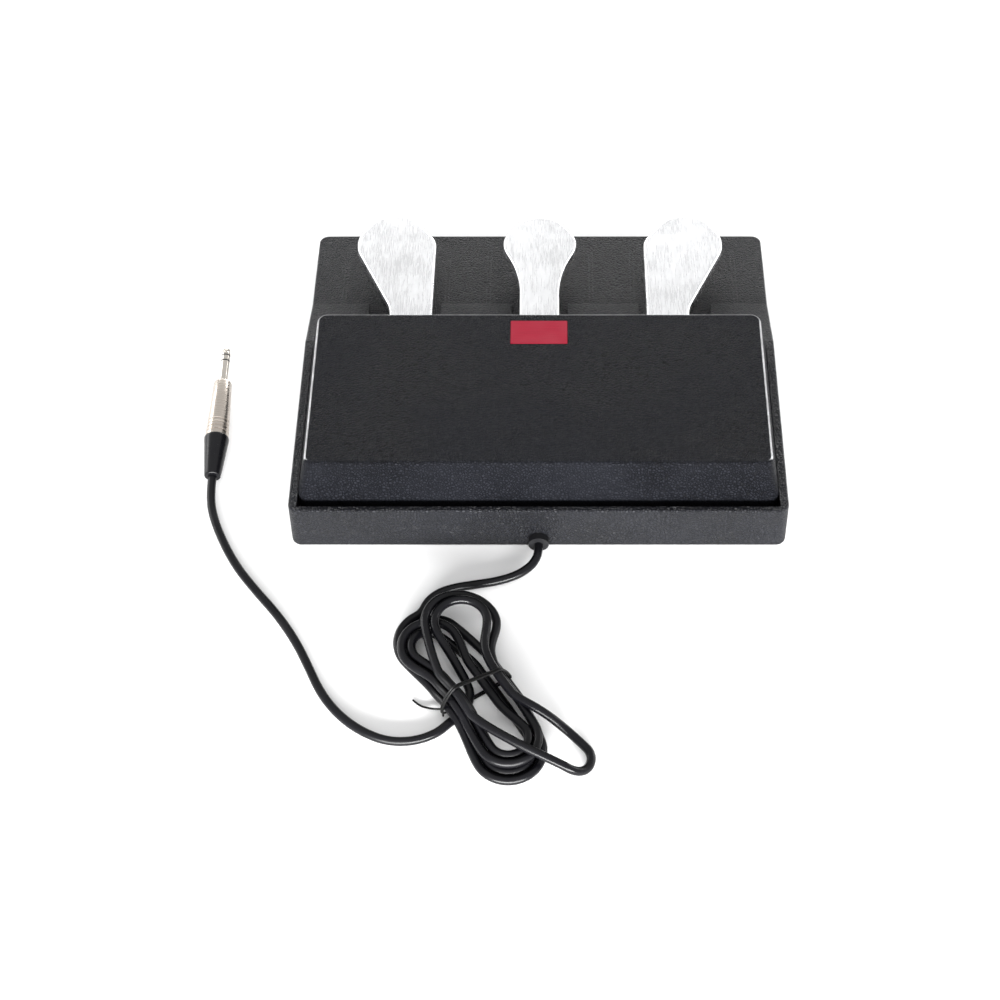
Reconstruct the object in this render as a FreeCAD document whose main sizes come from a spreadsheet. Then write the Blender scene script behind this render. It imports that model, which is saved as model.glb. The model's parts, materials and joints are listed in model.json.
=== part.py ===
import FreeCAD, Part
import Sketcher
import math
import os

# Triple pedal unit: moulded base and hood, steel chassis, three sprung pedals on one axle,
# and a cord with a three-pole plug. Millimetres. +Z is up, +Y is the rear, where the cord
# leaves, and the pedals point to -Y. The origin is on the floor under the base's centre.

doc = FreeCAD.newDocument("TriplePedal")
sheet = doc.addObject("Spreadsheet::Sheet", "Sizes")

SIZES = [
    ("base_width", 340.0, "base, left to right at the floor"),
    ("base_depth", 286.0, "base, front to rear at the floor"),
    ("lip_bottom", 1.0, "gap between the floor and the base's lower edge"),
    ("rim_top", 37.8, "level rim above the floor"),
    ("wall_draft", 1.0, "outer wall draft, degrees"),
    ("corner_round", 7.0, "plan corner radius"),
    ("edge_round", 1.4, "rounding of the base's upper edges"),
    ("level_depth", 156.3, "rear edge to the top of the ramp"),
    ("ramp_run", 53.5, "ramp, measured level"),
    ("ramp_drop", 16.7, "ramp, height lost"),
    ("tray_drop", 3.8, "front tray, height lost to its front edge"),
    ("shell_wall", 3.0, "moulding thickness"),
    ("side_rim", 6.4, "level rim width beside the hood"),
    ("rear_rim", 4.4, "level rim width behind the hood"),
    ("front_strip", 7.0, "level strip under the hood's front wall"),
    ("ledge_top", 27.0, "ledge that carries the hood"),
    ("ledge_thick", 3.0, "ledge thickness"),
    ("ledge_reach", 13.0, "ledge width inwards"),
    ("fit_gap", 0.4, "clearance round the hood and badge"),
    ("small_gap", 0.3, "clearance between stacked pieces"),
    ("hood_rear_gap", 6.5, "open gap between rear rim and hood"),
    ("hood_top", 68.4, "hood's top face above the floor"),
    ("hood_inset", 6.5, "hood side slope, inset at the top"),
    ("hood_front_inset", 1.2, "hood front slope, inset at the top"),
    ("hood_round", 7.0, "hood's upright corner radius"),
    ("hood_edge", 2.5, "rounding round the hood's top face"),
    ("mouth_top", 51.5, "top of the pedal mouths in the hood's front wall"),
    ("badge_width", 40.0, "badge, left to right"),
    ("badge_depth", 21.7, "badge, front to rear"),
    ("badge_thick", 1.5, "badge thickness"),
    ("badge_recess", 1.3, "depth of the badge's seat in the hood"),
    ("badge_from_rear", 136.4, "badge centre from the base's rear edge"),
    ("groove_span", 80.0, "tray groove, outer side to outer side"),
    ("groove_width", 3.0, "tray groove width"),
    ("groove_depth", 1.4, "tray groove depth"),
    ("groove_front", 14.0, "tray groove, distance from the front edge"),
    ("groove_round", 8.0, "tray groove's outer corner radius"),
    ("groove_pitch", 108.0, "centre to centre of the tray grooves"),
    ("notch_middle", 21.0, "middle ramp notch, half width"),
    ("notch_inner", 73.4, "outer ramp notch, inner edge from the centre"),
    ("notch_outer", 128.0, "outer ramp notch, outer edge at the ramp's foot"),
    ("notch_slant", 5.0, "outer ramp notch, narrowing towards the hood"),
    ("plate_bottom", 2.5, "steel bottom plate above the floor"),
    ("plate_thick", 2.0, "steel bottom plate thickness"),
    ("plate_inset", 3.6, "bottom plate edge inside the base's outline"),
    ("foot_radius", 9.0, "rubber foot radius"),
    ("boss_radius", 4.5, "screw boss radius"),
    ("hole_side", 14.0, "plate screws, in from the base's sides"),
    ("hole_front", 14.0, "front plate screws, in from the base's front"),
    ("hole_middle", 12.0, "middle plate screws, ahead of the ramp's foot"),
    ("hole_rear_side", 11.0, "rear plate screws, in from the base's sides"),
    ("hole_rear", 38.0, "rear plate screws, in from the base's rear"),
    ("hood_hole_front", 14.0, "front hood screws, behind the well's front"),
    ("hood_boss_rise", 6.0, "hood bosses above the rim"),
    ("foot_side", 32.0, "feet, in from the base's sides"),
    ("foot_front", 30.0, "front feet, in from the base's front"),
    ("foot_rear", 36.0, "rear feet, in from the base's rear"),
    ("pilot_radius", 1.6, "screw hole radius in plastic"),
    ("screw_radius", 1.5, "screw shank radius"),
    ("screw_head", 3.2, "screw head radius"),
    ("head_thick", 1.3, "screw head thickness"),
    ("screw_length", 8.0, "plate screw shank length"),
    ("stem_pitch", 93.5, "centre to centre of the pedal stems"),
    ("axle_from_rear", 60.0, "axle centre from the base's rear edge"),
    ("axle_height", 40.0, "axle centre above the floor"),
    ("axle_radius", 4.0, "axle radius"),
    ("running_gap", 0.05, "radial clearance of the bushes on the axle"),
    ("axle_overhang", 6.0, "axle beyond the outermost ears"),
    ("pedal_tilt", 3.74, "pedal slope down to its tip, degrees"),
    ("pedal_top", 12.7, "pedal's top face above the axle, square to it"),
    ("pedal_thick", 6.0, "pedal thickness"),
    ("pedal_edge", 2.0, "rounding of the pedal's top edge"),
    ("pedal_under_edge", 1.0, "rounding of the pedal's lower edge"),
    ("tail", 9.0, "pedal plate behind the axle"),
    ("middle_stem", 14.6, "middle pedal, half stem width"),
    ("middle_head", 27.4, "middle pedal, half head width"),
    ("middle_neck", 160.2, "middle pedal, axle to the start of its flare"),
    ("middle_flare", 188.4, "middle pedal, axle to the end of its flare"),
    ("middle_cheek", 200.9, "middle pedal, axle to the start of its tip"),
    ("middle_nose", 12.0, "middle pedal, half width of the tip's front side"),
    ("middle_reach", 224.6, "middle pedal, axle to tip"),
    ("outer_stem", 15.6, "outer pedals, half stem width"),
    ("outer_side", 43.7, "outer pedals, stem centre to the outer side of the head"),
    ("outer_neck", 123.3, "outer pedals, axle to the start of the flare"),
    ("outer_flare", 187.6, "outer pedals, axle to the end of the flare"),
    ("outer_cheek", 201.9, "outer pedals, axle to the tip's outer corner"),
    ("inner_cheek", 197.7, "outer pedals, axle to the tip's inner corner"),
    ("nose_outer", 28.9, "outer pedals, stem centre to the nose's outer end"),
    ("nose_inner", 4.9, "outer pedals, stem centre to the nose's inner end"),
    ("outer_reach", 226.0, "outer pedals, axle to tip"),
    ("middle_neck_round", 100.0, "middle pedal, neck radius"),
    ("outer_neck_round", 30.0, "outer pedals, neck radius"),
    ("flare_round", 30.0, "radius where the flare ends"),
    ("tip_round", 20.0, "radii round the pedal tips"),
    ("hub_radius", 9.0, "pedal hub radius"),
    ("hub_half", 16.0, "pedal hub, half length"),
    ("bush_wall", 2.0, "bush wall thickness"),
    ("bush_flange", 1.2, "bush flange thickness"),
    ("bush_length", 9.0, "bush length in the hub"),
    ("ear_gap", 1.0, "clearance between bush flange and ear"),
    ("steel_thick", 2.0, "chassis sheet thickness"),
    ("ear_half", 13.0, "axle ear, half width front to rear"),
    ("ear_rise", 8.0, "axle ear above the axle's centre"),
    ("chassis_half", 142.0, "chassis, half width"),
    ("chassis_hole_out", 131.0, "outer chassis screws from the centre"),
    ("chassis_hole_rear", 8.0, "rear chassis screws, ahead of its rear edge"),
    ("chassis_hole_front", 14.0, "front chassis screws, behind its front wall"),
    ("leg_out", 127.0, "outer bridge legs from the centre"),
    ("chassis_rear", 42.0, "chassis rear edge from the base's rear edge"),
    ("chassis_wall", 132.0, "chassis front wall from the base's rear edge"),
    ("shelf_front", 148.0, "chassis shelf's front edge from the base's rear edge"),
    ("shelf_top", 31.5, "chassis shelf above the floor"),
    ("spring_at", 42.0, "return spring, distance from the axle"),
    ("spring_radius", 6.6, "return spring, mean coil radius"),
    ("spring_wire", 0.8, "return spring wire radius"),
    ("spring_turns", 6.0, "return spring turns"),
    ("peg_radius", 5.0, "pedal's peg inside the spring"),
    ("peg_length", 6.0, "pedal's peg length"),
    ("cup_radius", 9.6, "spring cup radius"),
    ("cup_height", 5.0, "spring cup height"),
    ("cup_floor", 1.5, "spring cup floor"),
    ("stop_at", 80.0, "stops, distance from the axle"),
    ("stop_radius", 6.0, "rubber down-stop radius"),
    ("stop_gap", 0.05, "pressed pedal above its down-stop"),
    ("travel", 3.5, "pedal travel, degrees"),
    ("felt_thick", 3.0, "up-stop felt thickness"),
    ("felt_length", 12.0, "up-stop felt, front to rear"),
    ("bridge_half", 132.0, "stop bridge, half width"),
    ("bridge_depth", 16.0, "stop bridge, front to rear"),
    ("bridge_foot", 12.0, "stop bridge foot length"),
    ("magnet_at", 62.0, "magnet, distance from the axle"),
    ("magnet_radius", 3.0, "magnet radius"),
    ("magnet_length", 9.0, "magnet and carrier length below the pedal"),
    ("sensor_gap", 1.0, "magnet to sensor, pedal fully down"),
    ("board_width", 220.0, "circuit board, left to right"),
    ("board_depth", 13.0, "circuit board, front to rear"),
    ("board_thick", 1.6, "circuit board thickness"),
    ("sensor_size", 4.0, "sensor, square"),
    ("sensor_thick", 1.5, "sensor thickness"),
    ("spacer_radius", 2.5, "board spacer radius"),
    ("gland_height", 7.5, "cord centre above the floor at the gland"),
    ("gland_radius", 7.0, "gland flange radius"),
    ("gland_flange", 5.0, "gland outside the rear face"),
    ("gland_neck", 4.6, "gland radius in the wall"),
    ("gland_nut", 6.0, "gland nut radius inside"),
    ("nut_thick", 3.0, "gland nut thickness"),
    ("cord_radius", 3.0, "cord radius"),
    ("tie_radius", 0.7, "wire tie radius"),
    ("clamp_from_rear", 33.0, "cable clamp centre from the base's rear edge"),
    ("clamp_hole_in", 3.5, "clamp screws, in from its sides"),
    ("clamp_cap", 1.5, "clamp above the lead"),
    ("inner_height", 9.2, "inner lead's centre above the floor at the clamp"),
    ("clamp_width", 22.0, "cable clamp, left to right"),
    ("clamp_depth", 9.0, "cable clamp, front to rear"),
    ("barrel_front", 6.5, "plug barrel radius at the contacts"),
    ("barrel_rear", 8.4, "plug barrel radius at the boot"),
    ("barrel_length", 48.5, "plug barrel length"),
    ("boot_length", 33.0, "plug boot length"),
    ("boot_rim", 8.9, "plug boot radius at the barrel"),
    ("boot_end", 5.9, "plug boot radius at the cord"),
    ("jack_radius", 3.175, "plug contact radius"),
    ("sleeve_length", 19.0, "plug sleeve contact length"),
    ("insulator", 1.2, "plug insulator length"),
    ("ring_length", 3.6, "plug ring contact length"),
    ("tip_length", 6.3, "plug tip contact length"),
    ("tip_waist", 2.2, "plug tip waist radius"),
]
for row, (alias, number, note) in enumerate(SIZES, 1):
    sheet.set("A%d" % row, note)
    sheet.set("B%d" % row, str(number))
    sheet.setAlias("B%d" % row, alias)
doc.recompute()

# Places that several pieces share, as expressions on the sheet.
REAR_Y = "$base_depth / 2"
RAMP_TOP_Y = "($base_depth / 2 - $level_depth)"
RAMP_FOOT_Y = "($base_depth / 2 - $level_depth - $ramp_run)"
TRAY_RUN = "($base_depth - $level_depth - $ramp_run)"
FOOT_Z = "($rim_top - $ramp_drop)"
TRAY_SLOPE = "atan($tray_drop / %s)" % TRAY_RUN
RAMP_SLOPE = "atan($ramp_drop / $ramp_run)"
WELL_HALF = "($base_width / 2 - $side_rim)"
WELL_REAR = "($base_depth / 2 - $rear_rim)"
WELL_FRONT = "(%s + $front_strip)" % RAMP_TOP_Y
LEDGE_BOTTOM = "($ledge_top - $ledge_thick)"
PLATE_TOP = "($plate_bottom + $plate_thick)"
FLOOR_TOP = "($plate_bottom + $plate_thick + $steel_thick)"
AXLE_Y = "($base_depth / 2 - $axle_from_rear)"
STEMS = {"left": -1, "middle": 0, "right": 1}


def spelled(text):
    """Point every $name of an expression at its cell."""
    return text.replace("$", "Sizes.")


def bind(thing, **places):
    """Bind properties to expressions. Two underscores stand for a dot in a property's name."""
    for name, text in places.items():
        thing.setExpression(name.replace("__", "."), spelled(text))


def size(alias):
    return float(sheet.get(alias))


def new_body(label):
    body = doc.addObject("PartDesign::Body", label)
    body.Label = label
    return body


def put(thing, x="0", y="0", z="0"):
    """Place a piece by expressions."""
    bind(thing, Placement__Base__x=x, Placement__Base__y=y, Placement__Base__z=z)


def sketch_on(body, role, lift="0", tilt="0"):
    """Sketch on an origin plane of the body, lifted along its normal and tilted about X."""
    sketch = body.newObject("Sketcher::SketchObject", body.Name + "_sketch")
    plane = [item for item in body.Origin.OriginFeatures if item.Role == role][0]
    sketch.AttachmentSupport = [(plane, "")]
    sketch.MapMode = "FlatFace"
    sketch.AttachmentOffset = FreeCAD.Placement(
        FreeCAD.Vector(), FreeCAD.Rotation(FreeCAD.Vector(1, 0, 0), 1))
    bind(sketch, AttachmentOffset__Base__z=lift, AttachmentOffset__Rotation__Angle=tilt)
    return sketch


def fix_point(sketch, geometry, end, x, y, guess):
    """Hold one point of a sketch at a place given by expressions."""
    for kind, text, value in (("DistanceX", x, guess.x), ("DistanceY", y, guess.y)):
        index = sketch.addConstraint(Sketcher.Constraint(kind, -1, 1, geometry, end, value))
        sketch.setExpression("Constraints[%d]" % index, spelled(text))


def loop(sketch, corners):
    """Add a closed loop of straight sides through corners given as pairs of expressions."""
    first = sketch.GeometryCount
    count = len(corners)
    turn = 2 * math.pi / count
    start = [FreeCAD.Vector(50 * math.cos(i * turn), 50 * math.sin(i * turn), 0)
             for i in range(count)]
    for i in range(count):
        sketch.addGeometry(Part.LineSegment(start[i], start[(i + 1) % count]))
    for i in range(count):
        following = first + (i + 1) % count
        sketch.addConstraint(Sketcher.Constraint("Coincident", first + i, 2, following, 1))
    for i, (x, y) in enumerate(corners):
        fix_point(sketch, first + i, 1, x, y, start[i])


def rectangle(sketch, x0, x1, y0, y1):
    loop(sketch, [(x0, y0), (x1, y0), (x1, y1), (x0, y1)])


def bend(x, y, radius, start, end):
    """Points of a quarter bend that replaces the corner at x, y of an outline."""
    steps = 5
    across = "-" if min(start, end) == 270 else "+"
    points = []
    for i in range(steps + 1):
        angle = start + (end - start) * i / steps
        points.append(("%s %s %s + %s * cos(%g)" % (x, across, radius, radius, angle),
                       "%s + %s + %s * sin(%g)" % (y, radius, radius, angle)))
    return points


def circle(sketch, x, y, radius):
    index = sketch.addGeometry(
        Part.Circle(FreeCAD.Vector(5, 5, 0), FreeCAD.Vector(0, 0, 1), 3))
    fix_point(sketch, index, 3, x, y, FreeCAD.Vector(5, 5, 0))
    held = sketch.addConstraint(Sketcher.Constraint("Radius", index, 3))
    sketch.setExpression("Constraints[%d]" % held, spelled(radius))


def feature(body, kind, sketch, length, backwards=False, taper=None):
    """Pad or pocket a sketch and check that it changed the body's volume the right way."""
    before = body.Shape.Volume if body.Tip else 0.0
    item = body.newObject("PartDesign::" + kind, body.Name + "_" + kind.lower())
    item.Profile = sketch
    item.Reversed = backwards
    bind(item, Length=length)
    if taper:
        bind(item, TaperAngle=taper)
    doc.recompute()
    after = body.Shape.Volume
    if (after > before) != (kind == "Pad"):
        raise ValueError("%s changed nothing in %s" % (item.Name, body.Name))
    return item


def pad(body, sketch, length, **options):
    return feature(body, "Pad", sketch, length, **options)


def pocket(body, sketch, length, **options):
    return feature(body, "Pocket", sketch, length, **options)


def edges_where(shape, test):
    return ["Edge%d" % i for i, edge in enumerate(shape.Edges, 1) if test(edge)]


def upright(edge):
    """True for an edge that runs mostly along Z."""
    box = edge.BoundBox
    return box.ZLength > 1.5 * max(box.XLength, box.YLength, 0.01)


def round_edges(body, test, radius):
    """Fillet the edges of the body's last feature that pass the test."""
    base = body.Tip
    names = edges_where(base.Shape, test)
    fillet = body.newObject("PartDesign::Fillet", body.Name + "_fillet")
    fillet.Base = (base, names)
    bind(fillet, Radius=radius)
    doc.recompute()
    if not names or "Invalid" in fillet.State or "Error" in fillet.State:
        raise ValueError("%s failed on %d edges: %s" % (fillet.Name, len(names), fillet.State))
    return fillet


def cylinder(label, radius, length, x="0", y="0", z="0", turn=None):
    """Cylinder from its base centre along +Z, or along the turned axis."""
    item = doc.addObject("Part::Cylinder", label)
    bind(item, Radius=radius, Height=length)
    if turn:
        item.Placement = FreeCAD.Placement(FreeCAD.Vector(), turn)
    put(item, x, y, z)
    return item


def box(label, x0, x1, y0, y1, z0, z1):
    item = doc.addObject("Part::Box", label)
    bind(item, Length="(%s) - (%s)" % (x1, x0), Width="(%s) - (%s)" % (y1, y0),
         Height="(%s) - (%s)" % (z1, z0))
    put(item, x0, y0, z0)
    return item


def fuse(label, pieces):
    item = doc.addObject("Part::MultiFuse", label)
    item.Shapes = pieces
    return item


def cut(label, base, tool):
    item = doc.addObject("Part::Cut", label)
    item.Base = base
    item.Tool = tool
    return item


def group(label, pieces):
    item = doc.addObject("Part::Compound", label)
    item.Links = pieces
    return item


NODES = []


def keep(item, label):
    """Name a finished sub-part and list it for export."""
    item.Label = label
    NODES.append(item)
    return item


ALONG_X = FreeCAD.Rotation(FreeCAD.Vector(0, 1, 0), 90)
TO_REAR = FreeCAD.Rotation(FreeCAD.Vector(1, 0, 0), -90)
TO_FRONT = FreeCAD.Rotation(FreeCAD.Vector(1, 0, 0), 90)
DOWN = FreeCAD.Rotation(FreeCAD.Vector(1, 0, 0), 180)


def screw(label, x, y, z, length, turn=None):
    """Pan head screw: the head's seat is at z, the shank runs along the turned +Z axis."""
    turn = turn or FreeCAD.Rotation()
    shank = cylinder(label + "_shank", "$screw_radius", length, x, y, z, turn)
    up = turn.multVec(FreeCAD.Vector(0, 0, 1)).z
    head_z = "%s - $head_thick" % z if up > 0 else "%s + $head_thick" % z
    head = cylinder(label + "_head", "$screw_head", "$head_thick", x, y, head_z, turn)
    return fuse(label, [head, shank])


# Where the screws go, as expressions: bottom plate to base, hood to ledge.
HOLE_X = ["-$base_width / 2 + $hole_side", "-$groove_pitch / 2", "$groove_pitch / 2",
          "$base_width / 2 - $hole_side"]
FRONT_HOLES = [(x, "-$base_depth / 2 + $hole_front") for x in HOLE_X]
MIDDLE_HOLES = [(x, "%s - $hole_middle" % RAMP_FOOT_Y) for x in HOLE_X]
REAR_HOLES = [(sign + "($base_width / 2 - $hole_rear_side)", "$base_depth / 2 - $hole_rear")
              for sign in ("-", "")]
PLATE_HOLES = FRONT_HOLES + MIDDLE_HOLES + REAR_HOLES
LEDGE_X = "(%s - $ledge_reach / 2)" % WELL_HALF
LEDGE_Y = "(%s - $hood_rear_gap - $ledge_reach / 2)" % WELL_REAR
HOOD_HOLES = [(sign + LEDGE_X, y) for sign in ("-", "")
              for y in (LEDGE_Y, "(%s + $hood_hole_front)" % WELL_FRONT)]
FEET = [(sign + "($base_width / 2 - $foot_side)", y) for sign in ("-", "")
        for y in ("-$base_depth / 2 + $foot_front", "0", "$base_depth / 2 - $foot_rear")]
CLAMP_Y = "($base_depth / 2 - $clamp_from_rear)"
CLAMP_HOLES = [("-($clamp_width / 2 - $clamp_hole_in)", CLAMP_Y),
               ("$clamp_width / 2 - $clamp_hole_in", CLAMP_Y)]


# ---------------------------------------------------------------- base
def make_base():
    body = new_body("base_tray")
    plan = sketch_on(body, "XY_Plane", "$lip_bottom")
    rectangle(plan, "-$base_width / 2", "$base_width / 2", "-$base_depth / 2", REAR_Y)
    pad(body, plan, "$rim_top - $lip_bottom", taper="-$wall_draft")
    round_edges(body, upright, "$corner_round")

    # Side profile: everything above the ramp and the front tray goes.
    above = sketch_on(body, "YZ_Plane", "$base_width / 2 + 5")
    front = "(-$base_depth / 2 - 10)"
    loop(above, [(RAMP_TOP_Y, "$rim_top"), (RAMP_FOOT_Y, FOOT_Z),
                 (front, "%s - $tray_drop * (%s + 10) / %s" % (FOOT_Z, TRAY_RUN, TRAY_RUN)),
                 (front, "$rim_top + 5"), (RAMP_TOP_Y, "$rim_top + 5")])
    pocket(body, above, "$base_width + 10")

    low_z = size("rim_top") - size("ramp_drop") - size("tray_drop") - 2
    slack = 2.0

    def outer_top_edge(edge):
        place = edge.BoundBox
        if place.ZMax < low_z or upright(edge):
            return False
        if place.XLength > size("base_width") * 0.8:
            return abs(place.Center.y) > size("base_depth") / 2 - slack
        return abs(place.Center.x) > size("base_width") / 2 - size("corner_round") - slack
    round_edges(body, outer_top_edge, "$edge_round")

    # Well for the hood, with a ledge all round it except at the front.
    well = sketch_on(body, "XY_Plane", "$rim_top + 1")
    rectangle(well, "-" + WELL_HALF, WELL_HALF, WELL_FRONT, WELL_REAR)
    pocket(body, well, "$rim_top + 1 - $ledge_top")
    shaft = sketch_on(body, "XY_Plane", "$rim_top + 1")
    inside = "(%s - $ledge_reach)" % WELL_HALF
    rectangle(shaft, "-" + inside, inside, WELL_FRONT,
              "%s - $hood_rear_gap - $ledge_reach" % WELL_REAR)
    pocket(body, shaft, "$rim_top + 1")

    # Hollow under the ledge, and under the ramp and tray.
    under = sketch_on(body, "XY_Plane")
    wall_x = "($base_width / 2 - $shell_wall)"
    rectangle(under, "-" + wall_x, wall_x, RAMP_TOP_Y, "$base_depth / 2 - $shell_wall")
    pocket(body, under, LEDGE_BOTTOM, backwards=True)
    below = sketch_on(body, "YZ_Plane", wall_x)
    front = "(-$base_depth / 2 + $shell_wall)"
    rise = "$tray_drop / %s" % TRAY_RUN
    loop(below, [(front, "0"), ("%s + 0.1" % WELL_FRONT, "0"),
                 ("%s + 0.1" % WELL_FRONT, "%s - $shell_wall + (%s + 0.1 - %s) * %s"
                  % (FOOT_Z, WELL_FRONT, RAMP_FOOT_Y, rise)),
                 (front, "%s - $shell_wall + (%s - %s) * %s"
                  % (FOOT_Z, front, RAMP_FOOT_Y, rise))])
    pocket(body, below, "2 * " + wall_x)

    # Notches through the ramp, floors level with the tray.
    tray_lift = "(%s - %s * %s) * cos(%s)" % (FOOT_Z, RAMP_FOOT_Y, rise, TRAY_SLOPE)
    notch = sketch_on(body, "XY_Plane", tray_lift, TRAY_SLOPE)
    back = "(%s + 1)" % WELL_FRONT
    rectangle(notch, "-$notch_middle", "$notch_middle", RAMP_FOOT_Y + " - 2", back)
    for sign in ("-", ""):
        loop(notch, [(sign + "$notch_inner", RAMP_FOOT_Y + " - 2"),
                     (sign + "$notch_outer", RAMP_FOOT_Y + " - 2"),
                     (sign + "($notch_outer - $notch_slant)", back),
                     (sign + "$notch_inner", back)])
    pocket(body, notch, "30", backwards=True)

    # Grooves round each pedal, on the tray and up the ramp.
    ring = sketch_on(body, "XY_Plane", tray_lift, TRAY_SLOPE)
    half = "($groove_span / 2)"
    front = "(-$base_depth / 2 + $groove_front)"
    for side in STEMS.values():
        left = "(%d * $groove_pitch - %s)" % (side, half)
        right = "(%d * $groove_pitch + %s)" % (side, half)
        low = front
        corners = [(left, RAMP_FOOT_Y)]
        corners += bend(left, low, "$groove_round", 180, 270)
        corners += bend(right, low, "$groove_round", 270, 360)
        corners += [(right, RAMP_FOOT_Y), (right + " - $groove_width", RAMP_FOOT_Y)]
        tight = "($groove_round - $groove_width)"
        low = "(%s + $groove_width)" % front
        corners += bend(right + " - $groove_width", low, tight, 360, 270)
        corners += bend(left + " + $groove_width", low, tight, 270, 180)
        corners += [(left + " + $groove_width", RAMP_FOOT_Y)]
        loop(ring, corners)
    pocket(body, ring, "$groove_depth")
    climb = "%s * cos(%s) - %s * sin(%s)" % (FOOT_Z, RAMP_SLOPE, RAMP_FOOT_Y, RAMP_SLOPE)
    track = sketch_on(body, "XY_Plane", climb, RAMP_SLOPE)
    foot = "(%s * cos(%s) + %s * sin(%s))" % (RAMP_FOOT_Y, RAMP_SLOPE, FOOT_Z, RAMP_SLOPE)
    for side in STEMS.values():
        for sign in ("-", "+"):
            far = "%d * $groove_pitch %s %s" % (side, sign, half)
            near = "%s %s $groove_width" % (far, "+" if sign == "-" else "-")
            loop(track, [(far, foot), (near, foot),
                         (near, foot + " + sqrt(($ramp_run)^2 + ($ramp_drop)^2) + 1"),
                         (far, foot + " + sqrt(($ramp_run)^2 + ($ramp_drop)^2) + 1")])
    pocket(body, track, "$groove_depth")

    # Screw bosses down to the bottom plate, with blind holes.
    for places, top in ((FRONT_HOLES, "%s - $tray_drop - 1" % FOOT_Z),
                        (MIDDLE_HOLES, FOOT_Z + " - 1.5"),
                        (REAR_HOLES, LEDGE_BOTTOM + " + 1")):
        bosses = sketch_on(body, "XY_Plane", PLATE_TOP)
        for x, y in places:
            circle(bosses, x, y, "$boss_radius")
        pad(body, bosses, "%s - %s" % (top, PLATE_TOP))
    holes = sketch_on(body, "XY_Plane", PLATE_TOP)
    for x, y in PLATE_HOLES:
        circle(holes, x, y, "$pilot_radius")
    pocket(body, holes, "$screw_length + 0.5", backwards=True)
    through = sketch_on(body, "XY_Plane", "$ledge_top + 1")
    for x, y in HOOD_HOLES:
        circle(through, x, y, "$pilot_radius")
    pocket(body, through, "$ledge_thick + 2")
    gland = sketch_on(body, "XZ_Plane", "-$base_depth / 2 - 1")
    circle(gland, "0", "$gland_height", "$gland_neck + 0.1")
    pocket(body, gland, "$shell_wall + 2", backwards=True)
    keep(body, "base_tray")


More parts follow.
